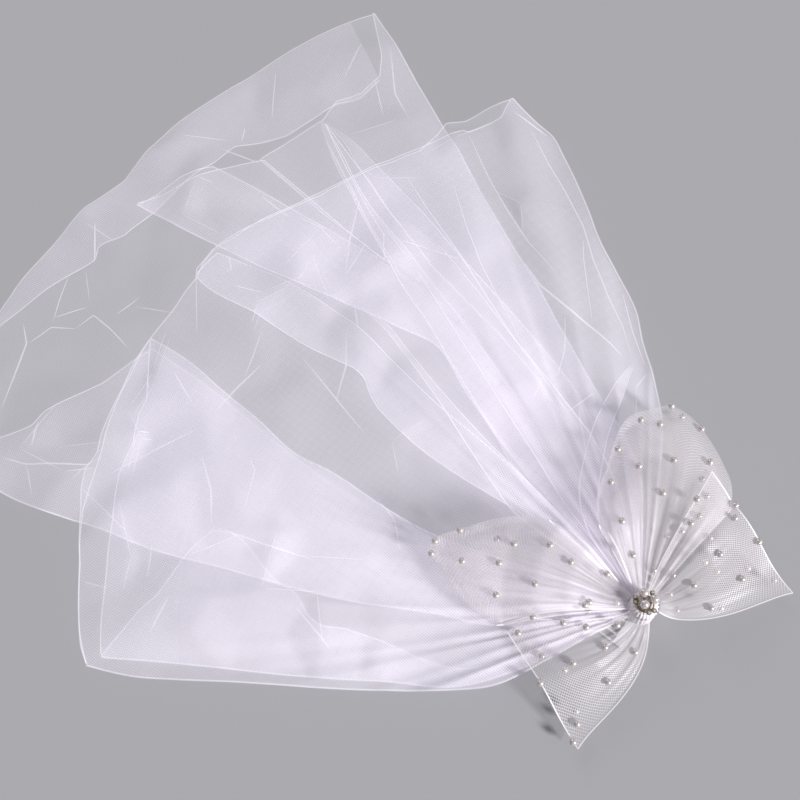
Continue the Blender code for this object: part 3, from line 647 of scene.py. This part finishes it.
# The shorter tier is a second length of the same tulle, gathered with the first and laid over it.
# It is folded into a narrow lens and a lapel at its left, spread out, and folded back in a band.
SHORT_LINES = {
    "lens_side": traced((
        (215, 534), (240, 541), (275, 582), (300, 602), (307, 615), (350, 632), (390, 645), (419, 658),
        (464, 669),
    ), ((100, 200.0), (11, 200.0))),
    "lens_fold": traced((
        (103, 657), (180, 663), (262, 671), (330, 677), (400, 681), (453, 686),
    ), ((100, 205.0), (11, 205.0))),
    "lapel_fold": traced((
        (154, 349), (186, 369), (230, 405), (262, 431), (298, 463), (329, 478), (393, 519), (426, 537),
    ), ((100, 160.5), (11, 160.0))),
    "low_fold": traced((
        (89, 666), (135, 677), (180, 680), (250, 683), (330, 688), (400, 690), (455, 690), (494, 686),
        (543, 663),
    ), ((11, 206.0),)),
    "right_fold": traced((
        (510, 108), (532, 126), (550, 140), (560, 157), (575, 187), (587, 215), (600, 247), (615, 272),
        (635, 310), (642, 342), (654, 385), (659, 417),
    ), ((100, 80.0), (11, 80.0))),
    "band_fold": traced((
        (201, 290), (210, 299), (268, 331), (289, 344), (314, 359), (339, 371), (361, 383), (367, 390),
        (371, 402), (377, 414), (390, 429), (426, 460), (475, 492),
    ), ((100, 140.0), (11, 140.0))),
    "band_side": traced(((221, 267), (286, 295), (350, 335), (443, 421)), ((100, 130.0), (11, 130.0))),
}
LENS_HEM = traced(((190, 555), (172, 580), (160, 597), (142, 612), (125, 632)))
LAPEL_HEM = traced((
    (104, 625), (109, 582), (117, 525), (122, 480), (137, 450), (142, 420), (150, 405), (151, 382),
))
LOW_HEM = traced((
    (135, 375), (125, 397), (110, 435), (102, 460), (90, 475), (86, 495), (85, 515), (84.5, 570),
    (82, 612), (84, 650),
))
SPREAD_HEM = traced((
    (84, 636), (85, 564), (88, 517), (109, 455), (125, 402), (149, 358), (179, 318), (201, 290),
    (207, 272), (220, 257), (270, 232), (320, 207), (385, 177), (420, 164), (437, 147), (446, 134),
    (465, 131), (487, 119), (497, 115),
))
BAND_HEM = traced((
    (500, 129), (480, 140), (467, 146), (462, 144), (420, 163), (350, 192), (290, 222), (240, 250),
    (216, 262), (201, 282),
))
SHORT_LEAVES = (
    ("lens_side", "lens_fold", LENS_HEM, 11.0),
    ("lens_fold", "lapel_fold", LAPEL_HEM, 22.0),
    ("lapel_fold", "low_fold", LOW_HEM, 30.0),
    ("low_fold", "right_fold", SPREAD_HEM, 41.0),
    ("right_fold", "band_fold", BAND_HEM, 52.0),
    ("band_fold", "band_side", traced(((210, 277),)), 60.0),
)
SHORT_PLEATS = (
    (
        traced((
            (368, 330), (376, 336), (417, 384), (453, 435), (486, 484), (512, 519),
        ), ((60, 144.0), (11, 144.0))),
        traced((
            (368, 330), (385, 338), (405, 360), (427, 387), (478, 443), (530, 494),
        ), ((60, 130.5), (11, 130.0))),
    ),
    (
        traced((
            (385, 244), (421, 293), (460, 353), (499, 413), (538, 473), (575, 530),
        ), ((11, 126.0),)),
        traced((
            (404, 236), (428, 253), (472, 302), (524, 366), (564, 413), (596, 458), (615, 502),
        ), ((11, 98.0),)),
    ),
    (
        traced((
            (629, 370), (606, 403), (591, 433), (582, 463), (576, 502), (585, 540),
        ), ((11, 125.0),)),
        traced((
            (632, 371), (617, 411), (605, 442), (594, 522), (603, 555),
        ), ((100, 104.4), (11, 121.0))),
    ),
)
SHORT_CREASES = (
    (9, 1.6, ((407, 192), (425, 220), (450, 257), (482, 305), (512, 350), (545, 392), (577, 438))),
    (9, 1.2, ((452, 200), (465, 242), (480, 280), (515, 345))),
    (9, 1.8, ((522, 275), (537, 297), (562, 317), (590, 337), (622, 361))),
    (9, 1.2, ((466, 147), (490, 195), (505, 222), (526, 255), (555, 288))),
    (9, 1.2, ((528, 137), (545, 165), (565, 197), (582, 230), (592, 265), (607, 300), (622, 327),
      (632, 360))),
    (9, 1.0, ((562, 327), (562, 360), (555, 385))), (9, 1.5, ((646, 375), (635, 390), (632, 430))),
    (9, 1.8, ((576, 417), (582, 450), (586, 485))), (9, 1.2, ((565, 420), (592, 401))),
    (9, 0.8, ((542, 382), (530, 410))), (9, 1.2, ((512, 124), (547, 142))),
    (9, 1.0, ((582, 245), (582, 265), (590, 330))), (9, 1.0, ((622, 292), (632, 330), (645, 367))),
    (8, 1.4, ((360, 212), (350, 252), (346, 287))), (8, 1.1, ((366, 255), (347, 287))),
    (8, 0.9, ((300, 230), (322, 240), (342, 260))), (8, 0.8, ((322, 240), (285, 282))),
    (8, 1.0, ((317, 267), (302, 291), (270, 301))), (8, 0.8, ((236, 297), (267, 304))),
    (8, 0.8, ((232, 267), (234, 282))), (7, 1.4, ((264, 372), (240, 397), (217, 420))),
    (7, 1.0, ((265, 342), (247, 385))), (7, 1.4, ((347, 342), (347, 375), (337, 410))),
    (7, 1.2, ((355, 315), (359, 340))), (7, 1.0, ((302, 365), (337, 407), (365, 440))),
    (7, 0.7, ((200, 285), (200, 345))), (7, 1.0, ((315, 270), (330, 310))),
    (6, 0.9, ((150, 380), (152, 396))), (6, 0.9, ((177, 380), (195, 410))),
    (6, 1.4, ((205, 464), (214, 497), (214, 530))), (6, 1.2, ((115, 479), (200, 435))),
    (6, 1.0, ((87, 495), (130, 537))), (6, 0.9, ((155, 550), (150, 582))),
    (6, 1.2, ((172, 600), (152, 637))), (6, 1.4, ((216, 532), (270, 551), (315, 564))),
    (6, 1.0, ((252, 465), (257, 477), (247, 515))), (6, 1.2, ((377, 502), (395, 525), (400, 555))),
    (6, 1.2, ((297, 611), (330, 650))), (6, 0.8, ((190, 560), (240, 541))),
    (6, 0.8, ((85, 585), (110, 592))),
)
SHORT_PLEAT_LEVEL = 9.4
SHORT_SPARED = 190.0
short_grids = lay_tier(SHORT_LINES, SHORT_LEAVES, SHORT_TIER_LEVEL)
for number, (first, last) in enumerate(SHORT_PLEATS):
    level = SHORT_PLEAT_LEVEL + PLEAT_LEVEL_STEP * number
    short_grids += lay_pleat(first, last, level, 64.0 - 9.0 * number)
short_grids += lay_creases(SHORT_CREASES)
short_grids += lay_ridges(SHORT_LINES, SHORT_LEAVES, SHORT_TIER_LEVEL, SHORT_SPARED)
short_mesh = sheet_mesh("tulle_short_tier", short_grids)
short_tier = hang("tulle_short_tier", short_mesh, soft_tulle, doubled_net_and_highlight, crease_net_and_highlight)
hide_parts("veil_tier_short")
for tier in (long_tier, short_tier):
    tier.visible_shadow = False

# The bow is cut from stiff net. Each loop is a doubled band that stays round at its tip, so that it
# is hollow from side to side. The band is pleated small where the knot pinches it.

# Bearings of the first and last edge, at the knot and then at the tip
LOBE_EDGES = {
    "bow_loop_left": (188.0, 137.0, 188.0, 137.0),
    "bow_loop_right": (118.0, 47.0, 118.0, 46.0),
    "bow_tail_right": (70.0, -25.0, 61.0, 6.6),
    "bow_tail_left": (202.0, 284.0, 185.6, 243.0),
}
# Round tips of the loops. Columns: share across, reach as a share of the loop's length
LOOP_TIPS = {
    "bow_loop_left": (
        (0.00, 0.68), (0.18, 0.83), (0.34, 0.93), (0.45, 1.00), (0.52, 0.98), (0.60, 0.90),
        (0.78, 0.76), (0.92, 0.65), (1.00, 0.57),
    ),
    "bow_loop_right": (
        (0.00, 0.42), (0.13, 0.58), (0.23, 0.69), (0.36, 0.91), (0.47, 0.97), (0.54, 1.00),
        (0.62, 0.97), (0.72, 0.89), (0.83, 0.80), (0.93, 0.72), (1.00, 0.63),
    ),
}
LOBE_LENGTH = {
    "bow_loop_left": 154.0, "bow_loop_right": 150.0, "bow_tail_left": 91.0, "bow_tail_right": 95.0,
}
# Side view of a loop up to where its tip closes. Columns: share of the reach, gap over LOOP_PUFF
LOOP_SIDE = (
    (0.00, 0.10), (0.12, 0.16), (0.28, 0.48), (0.46, 0.84), (0.64, 1.00), (0.82, 0.90), (0.95, 0.52),
)
TIP_START = LOOP_SIDE[-1][0]
LOOP_PUFF = 21.0
KNOT_RADIUS = 11.0
LOOP_ROUNDING = 0.35
LOBE_SWING_POWER = 1.6
PINCH_RISE = ((0.0, 0.0), (0.15, 1.0), (0.35, 1.0), (0.6, 0.5), (0.85, 0.15), (1.0, 0.0))
LOOP_COLUMNS = 64
LOOP_ROWS = 60
# The pile under the bow, as the part has it. Columns: millimetres from the knot, millimetres up
CAD_PLEATS = ((11, 0.0), (32, 1.8), (54, 3.8), (78, 4.0), (100, 0.6))
CAD_PITCH = ((11, 1.35), (32, 1.72), (54, 2.14), (78, 2.4), (100, 2.4), (550, 1.7))
LEAF_THICKNESS = 1.0
NET_THICKNESS = 1.0
NET_CLEARANCE = 1.9


def pile_crest(reach, level=9):
    """Highest that the folded tulle stands at a reach."""
    swell = 2.0 * LEAF_SWELL * np.clip((reach - FAN_START) / FAN_RUN, 0.0, 1.0)
    pile = at(COMB_RISE, reach) + level * at(CAD_PITCH, reach)
    return pile + at(CAD_PLEATS, reach) + swell + LEAF_THICKNESS


def lobe_bearing(lobe, out, across):
    """Bearing at a share across a lobe, which swings from its place at the knot to that at the tip."""
    root_first, root_last, tip_first, tip_last = LOBE_EDGES[lobe]
    inward = (1.0 - out) ** LOBE_SWING_POWER
    first = tip_first + (root_first - tip_first) * inward
    last = tip_last + (root_last - tip_last) * inward
    return first + (last - first) * across


LOOP_PINCHES = 13.0
TAIL_PINCHES = 11.0


def pinches(out, across, count):
    """Small uneven pleats that run out from the knot."""
    place = across * count + 0.35 * np.sin(across * 9.0)
    ridge = np.abs(place % 2.0 - 1.0)
    fine = np.abs((place * 2.6 + 0.3) % 2.0 - 1.0)
    return at(PINCH_RISE, out) * (1.7 * ridge + 0.7 * fine - 1.2)


def loop_points(lobe, upper):
    """The upper or the lower layer of a loop, which meet at mid height round its tip."""
    across = np.linspace(0.0, 1.0, LOOP_COLUMNS)[None, :]
    out = np.linspace(0.0, 1.0, LOOP_ROWS)[:, None]
    out = np.sin(out * math.pi / 2) ** 0.9
    tip = along(LOOP_TIPS[lobe], across) * LOBE_LENGTH[lobe]
    reach = KNOT_RADIUS + (tip - KNOT_RADIUS) * out
    low = pile_crest(reach) + NET_CLEARANCE + at(PINCH_RISE, out)
    gap = LOOP_PUFF * along(LOOP_SIDE, np.minimum(out, TIP_START))
    in_tip = out > TIP_START
    closing = np.sqrt(np.clip((1.0 - out) / (1.0 - TIP_START), 0.0, 1.0))
    gap = np.where(in_tip, gap * closing, gap)
    rounding = 1.0 - LOOP_ROUNDING * (2.0 * across - 1.0) ** 2
    middle = low + (LOOP_PUFF * LOOP_SIDE[-1][1] * rounding + NET_THICKNESS) / 2
    rise = np.where(in_tip, 0.5 * gap * rounding, gap * rounding)
    if upper:
        height = np.where(in_tip, middle + rise, low + rise + NET_THICKNESS)
    else:
        height = np.where(in_tip, middle - rise, low)
    height = height + pinches(out, across, LOOP_PINCHES)
    return lay_point(lobe_bearing(lobe, out, across), reach, height)


def lobe_weave(points, turn):
    """Places on the flat net, measured along the lines of the mesh."""
    steps = np.linalg.norm(np.diff(points, axis=0), axis=2)
    run = np.concatenate((np.zeros((1, points.shape[1])), np.cumsum(steps, axis=0)))
    middle = points[points.shape[0] * 2 // 3]
    width = np.concatenate(([0.0], np.cumsum(np.linalg.norm(np.diff(middle, axis=0), axis=1))))
    across = np.broadcast_to(width, run.shape)
    run = np.broadcast_to(run.mean(axis=1)[:, None], run.shape)
    return np.stack(turned(across, run, turn), axis=-1)


CUT_LINE_WIDTH = 0.9


def lobe_grids(points, turn, free_ends):
    """The net of a lobe and its cut edges."""
    flat = np.ones(points.shape[:2])
    grids = [(points, lobe_weave(points, turn), flat, 0)]
    edges = [points[:, 0], points[:, -1]] + [points[end] for end in free_ends]
    for edge in edges:
        strip = lay_ribbon(edge, CUT_LINE_WIDTH, False)
        grids.append((strip, weave_places(strip, 0.0), np.ones(strip.shape[:2]), 1))
    return grids


# Crinoline net is nylon thread knitted stiff in an open mesh. It is whiter and coarser than tulle,
# so that each thread shows, and two layers of it make bands of light and dark.
bow_net, bow_net_shader = finish_of("stiff crinoline net", {
    "Base Color": colour("#F0EAED"), "Roughness": 0.38, "Specular IOR Level": 0.5,
    "Sheen Weight": 0.1, "Sheen Roughness": 0.4,
})
net_alpha(bow_net, bow_net_shader, 1.5, 1.7, 0.03, 0.50, False)
cut_net, _ = finish_of("cut edge of crinoline net", {
    "Base Color": colour("#F6F1F2"), "Roughness": 0.4, "Alpha": 0.7,
})


def hang_lobe(lobe, points, turn, free_ends):
    """Makes the finished net of a loop or a tail, in place of its part."""
    mesh = sheet_mesh(f"{lobe}_net", lobe_grids(points, turn, free_ends))
    piece = hang(f"{lobe}_net", mesh, bow_net, cut_net)
    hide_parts(lobe)
    return piece


lobes = []
for lobe, turn in (("bow_loop_left", 42.0), ("bow_loop_right", 38.0)):
    band = np.concatenate((loop_points(lobe, False), loop_points(lobe, True)[::-1][1:]))
    lobes.append(hang_lobe(lobe, band, turn, ()))

# The two ends of the bow are single net, cut straight across with bare edges and left to spread:
# the left one falls off the folded tulle, the right one is laid over the side of the loop.

# Bearing square to each cut
CUT_BEARINGS = {"bow_tail_right": 37.0, "bow_tail_left": 211.2}
# Fall of a tail's last edge. Columns: share of the reach, share of the height that it leaves at
TAIL_FALL = {
    "bow_tail_right": ((0.0, 1.00), (0.3, 0.98), (0.6, 0.76), (1.0, 0.48)),
    "bow_tail_left": ((0.0, 1.00), (0.3, 0.95), (0.6, 0.72), (1.0, 0.40)),
}
# Share across each tail up to which it lies on what is under it
TAIL_LAID_SHARE = {"bow_tail_right": 0.28, "bow_tail_left": 0.48}
TAIL_PILE_LEVEL = 7
TAIL_OVER_LOOP = 2.6
# Next to the knot a tail's net stands up against the side of it, to where it is bound in
ROOT_RISE = 8.0
ROOT_SHARE = 0.16
TAIL_COLUMNS = 56
TAIL_ROWS = 60


def height_over_loop(bearing, reach):
    """Height at which net lies on the right loop, or level with its last edge where it is past that."""
    _, _, first, last = LOBE_EDGES["bow_loop_right"]
    across = np.clip((bearing - first) / (last - first), 0.0, 1.0)
    tip = along(LOOP_TIPS["bow_loop_right"], across) * LOBE_LENGTH["bow_loop_right"]
    out = np.clip((reach - KNOT_RADIUS) / (tip - KNOT_RADIUS), 0.0, TIP_START)
    gap = LOOP_PUFF * along(LOOP_SIDE, out) * (1.0 - LOOP_ROUNDING * (2.0 * across - 1.0) ** 2)
    loop_top = pile_crest(reach) + NET_CLEARANCE + NET_THICKNESS + gap
    return loop_top + TAIL_OVER_LOOP + 3.0 * at(PINCH_RISE, out)


def tail_points(lobe):
    """A tail's net: its first edge lies on what is under it, and it leans down to its last edge."""
    across = np.linspace(0.0, 1.0, TAIL_COLUMNS)[None, :]
    out = np.linspace(0.0, 1.0, TAIL_ROWS)[:, None] + 0.0 * across
    bearing = lobe_bearing(lobe, out, across)
    square = np.cos(np.radians(lobe_bearing(lobe, 1.0, across) - CUT_BEARINGS[lobe]))
    reach = KNOT_RADIUS + (LOBE_LENGTH[lobe] / square - KNOT_RADIUS) * out
    leaving = pile_crest(KNOT_RADIUS, TAIL_PILE_LEVEL) + NET_CLEARANCE
    last = leaving * along(TAIL_FALL[lobe], out)
    if lobe == "bow_tail_left":
        first = pile_crest(reach, TAIL_PILE_LEVEL) + NET_CLEARANCE + 1.2 * at(PINCH_RISE, out)
    else:
        first = height_over_loop(bearing, reach)
    laid = TAIL_LAID_SHARE[lobe]
    lean = ease((across - laid) / (1.0 - laid))
    height = first + (last - first) * lean
    height = height + pinches(out, across, TAIL_PINCHES)
    height = height + 0.8 * out * np.sin(across * 11.0 + out * 2.0)
    standing = lean if lobe == "bow_tail_right" else 1.0
    height = height + ROOT_RISE * standing * np.clip(1.0 - out / ROOT_SHARE, 0.0, 1.0) ** 2
    return lay_point(bearing, reach, height)


for lobe, turn in (("bow_tail_left", 40.0), ("bow_tail_right", 36.0)):
    lobes.append(hang_lobe(lobe, tail_points(lobe), turn, (-1,)))

# The knot is a strip of the same net, wound round the pinched middle and pulled tight. Its turns
# and the pleats that it squeezes stand up as ridges round its side.

# Columns: share of the knot's radius, share of its height
KNOT_PROFILE = (
    (0.0, 0.0), (0.86, 0.0), (1.0, 0.10), (0.97, 0.5), (1.0, 0.88), (0.80, 1.0), (0.0, 1.02),
)
WOUND_RADIUS = 0.0106
PROFILE_STEPS = 4
KNOT_STEPS = 96
KNOT_RIDGES = 24


def mesh_of(name, form):
    """Turns a form into a smooth mesh and frees it."""
    mesh = bpy.data.meshes.new(name)
    form.to_mesh(mesh)
    form.free()
    mesh.shade_smooth()
    return mesh


form = bmesh.new()
knot_tall = knot_high.z - knot_low.z
corners = len(KNOT_PROFILE)
places = np.arange(PROFILE_STEPS * (corners - 1) + 1) / PROFILE_STEPS
outs = np.interp(places, range(corners), [out for out, _ in KNOT_PROFILE]) * WOUND_RADIUS
ups = np.interp(places, range(corners), [up for _, up in KNOT_PROFILE]) * knot_tall
line = [form.verts.new((out, 0.0, knot_low.z + up)) for out, up in zip(outs, ups)]
edges = [form.edges.new(pair) for pair in zip(line, line[1:])]
bmesh.ops.spin(
    form, geom=line + edges, cent=(0, 0, 0), axis=(0, 0, 1), angle=math.tau, steps=KNOT_STEPS,
    use_merge=True,
)
bmesh.ops.remove_doubles(form, verts=form.verts, dist=1e-6)
bmesh.ops.recalc_face_normals(form, faces=form.faces)
for vert in form.verts:
    turn = math.atan2(vert.co.y, vert.co.x)
    ridge = 1.0 - 0.11 * abs(math.sin(KNOT_RIDGES * turn / 2 + 1.5 * vert.co.z / knot_tall))
    vert.co.x = KNOT.x + vert.co.x * ridge
    vert.co.y = KNOT.y + vert.co.y * ridge
# Wound over and over, the net closes up to a nearly solid white with its threads as fine ribs
bound_net, bound_shader = finish_of("bound crinoline net", {
    "Base Color": colour("#EEE6EA"), "Roughness": 0.5, "Sheen Weight": 0.2,
})
RIB_SPACING = 0.0012
place = add_node(bound_net, "ShaderNodeTexCoord", {}, {})
ribs = add_node(
    bound_net, "ShaderNodeTexWave",
    {"wave_type": "BANDS", "bands_direction": "Z", "Scale": math.tau / (20.0 * RIB_SPACING),
     "Distortion": 1.5},
    {"Vector": place.outputs["Object"]},
)
raised = add_node(
    bound_net, "ShaderNodeBump", {"Strength": 0.5, "Distance": 0.0004}, {"Height": ribs.outputs["Fac"]},
)
bound_net.node_tree.links.new(raised.outputs[0], bound_shader.inputs["Normal"])
knot = hang("bow_knot_net", mesh_of("bow_knot_net", form), bound_net)
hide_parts("bow_knot")

# Glass pearls with a nacre coat are sewn all over the bow, most on its outer side. The rest are on
# the inside, where they show faintly through the net.
PEARL_RADIUS = 0.0025
OVER_BOW = 75.0
# Where a line of sight misses the net, the pearl goes to the net nearest to a point this far down it
MISSED_DEPTH = 0.045
LEAST_SLANT = 0.5
# Where the photo shows them, in pixels, the ones on the outside first
OUTER_PEARLS = (
    (460, 530), (435, 541), (430, 554), (462, 561), (514, 544), (499, 563), (550, 545), (571, 562),
    (535, 584), (496, 595), (607, 574), (589, 602), (585, 605), (673, 401), (641, 420), (660, 424),
    (704, 427), (618, 449), (639, 466), (674, 460), (710, 462), (611, 482), (663, 493), (622, 521),
    (633, 555), (697, 499), (737, 505), (735, 518), (691, 523), (759, 542), (720, 554), (742, 579),
    (694, 585), (711, 608), (533, 617), (563, 623), (518, 633), (586, 627), (617, 625), (605, 647),
    (635, 652), (573, 663), (535, 687), (608, 682), (577, 724), (573, 742),
)
INNER_PEARLS = (
    (497, 539), (682, 417), (707, 496), (702, 479), (699, 516), (682, 531), (667, 536), (710, 538),
    (705, 562), (717, 571), (748, 568), (774, 580), (721, 608), (654, 570), (673, 575), (677, 610),
    (670, 594), (576, 711), (617, 603), (565, 670), (542, 656), (588, 611),
)


def net_faces(pieces):
    """All faces of some pieces, to be met by lines of sight."""
    form = bmesh.new()
    for piece in pieces:
        form.from_mesh(piece.data)
    faces = BVHTree.FromBMesh(form)
    form.free()
    return faces


def add_bead(form, middle, radius, fineness=3):
    """A ball at a place."""
    place = Matrix.Translation(middle)
    bmesh.ops.create_icosphere(form, subdivisions=fineness, radius=radius, matrix=place)


def sight_line(across, down):
    """A point over the bow and the direction in which the photo looks through it at a pixel."""
    ends = []
    for height in (OVER_BOW, 0.0):
        east, north = seen_at(across, down, height)
        ends.append(Vector((KNOT.x + east * MM, KNOT.y + north * MM, height * MM)))
    return ends[0], (ends[1] - ends[0]).normalized()


lobe_faces = net_faces(lobes)
form = bmesh.new()
for spots, side in ((OUTER_PEARLS, -1.0), (INNER_PEARLS, 1.0)):
    for across, down in spots:
        start, sight = sight_line(across, down)
        seat, normal, _, _ = lobe_faces.ray_cast(start, sight)
        if seat is None:
            seat, normal, _, _ = lobe_faces.find_nearest(start + sight * MISSED_DEPTH)
        slant = max(abs(normal.dot(sight)), LEAST_SLANT)
        add_bead(form, seat + sight * side * PEARL_RADIUS / slant, PEARL_RADIUS)
# Nacre is clear layers over white, so it has a soft body colour under a hard bright gloss
nacre, _ = finish_of("nacre coated glass", {
    "Base Color": colour("#D2C9C6"), "Metallic": 0.45, "Roughness": 0.2, "Coat Weight": 1.0,
    "Coat Roughness": 0.04, "Sheen Weight": 0.1, "Sheen Tint": colour("#F6E6EE"),
})
pearls = hang("sewn_pearls", mesh_of("sewn_pearls", form), nacre)
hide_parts(*(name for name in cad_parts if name.startswith("pearl_")))

# The brooch is a small cluster: three pearls in the middle of an open setting of gold-tone wire,
# with cut stones held by claws round them. It is soldered, and sewn on over the knot.
setting_low, setting_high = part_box("brooch_setting")
brooch_pearls = sorted(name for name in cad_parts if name.startswith("brooch_pearl_"))
brooch_stones = sorted(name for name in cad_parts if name.startswith("brooch_stone_"))
# Radii of the wire and of the rings that hold a pearl and a stone, the stone's by its girdle and foot
WIRE = 0.00035
WIRE_SIDES = 8
PEARL_CUP = 0.0023
STONE_GIRDLE = 0.00155
STONE_FOOT = 0.0009
CLAW_TIP = 0.0010
SPOKES = 7
CLAWS = 4


def add_wire_ring(form, middle, radius, wire, sides=28):
    """A level ring of round wire."""
    place = Matrix.Translation(middle + Vector((radius, 0.0, 0.0))) @ Matrix.Rotation(math.pi / 2, 4, "X")
    made = bmesh.ops.create_circle(form, segments=WIRE_SIDES, radius=wire, matrix=place)
    loop = list({edge for vert in made["verts"] for edge in vert.link_edges})
    bmesh.ops.spin(
        form, geom=made["verts"] + loop, cent=middle, axis=(0, 0, 1), angle=math.tau, steps=sides,
        use_merge=True,
    )


def add_claw(form, start, end, wire):
    """A thin tapered wire from its foot to its rounded tip."""
    run = end - start
    place = Matrix.Translation((start + end) / 2) @ run.to_track_quat("Z", "Y").to_matrix().to_4x4()
    bmesh.ops.create_cone(
        form, cap_ends=True, segments=WIRE_SIDES, radius1=wire, radius2=wire * 0.7, depth=run.length,
        matrix=place,
    )
    add_bead(form, end, wire * 1.15, 2)


def outward(turns):
    """The level direction at a number of turns."""
    return Vector((math.cos(math.tau * turns), math.sin(math.tau * turns), 0.0))


form = bmesh.new()
middle = (setting_low + setting_high) / 2
radius = (setting_high.x - setting_low.x) / 2
for share in (0.3, 0.62):
    add_wire_ring(form, middle, radius * share, WIRE * 1.2, 48)
for spoke in range(SPOKES):
    add_claw(form, middle, middle + outward(spoke / SPOKES) * radius * 0.8, WIRE)
for name in brooch_pearls:
    low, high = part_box(name)
    centre = ((low + high) / 2).xy
    add_wire_ring(form, Vector((*centre, low.z + 0.0009)), PEARL_CUP, WIRE)
    add_claw(form, Vector((*centre, middle.z)), Vector((*centre, low.z + 0.0006)), WIRE * 2)
for name in brooch_stones:
    low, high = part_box(name)
    centre = ((low + high) / 2).xy
    girdle = (low.z + high.z) / 2 - 0.0001
    add_wire_ring(form, Vector((*centre, girdle)), STONE_GIRDLE, WIRE * 0.8, 20)
    add_wire_ring(form, Vector((*centre, low.z)), STONE_FOOT, WIRE * 0.8, 20)
    for claw in range(CLAWS):
        out = outward((claw + 0.5) / CLAWS)
        foot = Vector((*centre, middle.z)) + out * STONE_FOOT
        shoulder = Vector((*centre, high.z - 0.0003)) + out * STONE_GIRDLE
        tip = Vector((*centre, high.z + 0.0001)) + out * CLAW_TIP
        add_claw(form, foot, shoulder, WIRE * 0.9)
        add_claw(form, shoulder, tip, WIRE * 0.8)
# Base metal with a thin gold-tone plating, bright on the wires' tops and dull in the corners
gold_plate, _ = finish_of("gold tone plating", {
    "Base Color": colour("#94804F"), "Metallic": 1.0, "Roughness": 0.28,
})
setting = hang("brooch_wirework", mesh_of("brooch_wirework", form), gold_plate)
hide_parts("brooch_setting")

form = bmesh.new()
for name in brooch_pearls:
    low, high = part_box(name)
    add_bead(form, (low + high) / 2, (high.z - low.z) / 2, 4)
cluster = hang("brooch_pearls", mesh_of("brooch_pearls", form), nacre)
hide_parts(*brooch_pearls)

# Cut glass: clear, with hard flat facets that flash or go dark
cut_glass, _ = finish_of("clear cut glass", {
    "Base Color": colour("#DDE2E8"), "Roughness": 0.03, "IOR": 1.6, "Specular IOR Level": 0.9,
    "Metallic": 0.35, "Coat Weight": 1.0,
})
for name in brooch_stones:
    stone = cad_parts[name]
    stone.data.materials.clear()
    stone.data.materials.append(cut_glass)
    stone.data.shade_flat()

# The comb is moulded clear plastic. It lies under the gather with its teeth out under the tulle,
# and the gathered edge is sewn over its bar.
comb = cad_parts["hair_comb"]
comb_plastic, _ = finish_of("clear moulded comb plastic", {
    "Base Color": colour("#E6E4E8"), "Roughness": 0.18, "Specular IOR Level": 0.5, "Alpha": 0.6,
})
comb.data.materials.clear()
comb.data.materials.append(comb_plastic)

# The floor and the light: a plain pale board, a soft light that comes in low from the right of the
# bow, so that folds and creases show, and a weaker one from behind.
form = bmesh.new()
bmesh.ops.create_grid(form, x_segments=1, y_segments=1, size=40.0)
floor = bpy.data.objects.new("floor", mesh_of("floor", form))
floor.location.z = -0.0005
bpy.context.scene.collection.objects.link(floor)
board, _ = finish_of("pale grey board", {
    "Base Color": colour("#A4A4A6"), "Roughness": 0.8, "Specular IOR Level": 0.2,
})
floor.data.materials.append(board)
floor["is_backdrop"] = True


def add_light(name, place, strength, spread, tint):
    """A far soft light that shines from a place past the middle of the veil."""
    light = bpy.data.lights.new(name, "SUN")
    light.angle = math.radians(spread)
    light.energy = strength
    light.color = colour(tint)[:3]
    lamp = bpy.data.objects.new(name, light)
    lamp.location = place
    lamp.rotation_euler = (-Vector(place)).to_track_quat("-Z", "Y").to_euler()
    bpy.context.scene.collection.objects.link(lamp)


add_light("key", (2.1, -1.4, 1.35), 4.6, 11.0, "#FFFDFF")
add_light("back", (-0.9, 1.9, 1.2), 0.7, 30.0, "#F6F7FF")
world = bpy.data.worlds.new("studio")
world.use_nodes = True
world.node_tree.nodes["Background"].inputs["Color"].default_value = colour("#E9EAF0")
world.node_tree.nodes["Background"].inputs["Strength"].default_value = 0.35
bpy.context.scene.world = world
bpy.context.scene.view_settings.view_transform = "Standard"
bpy.context.scene.cycles.transparent_max_bounces = 48

low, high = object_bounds()
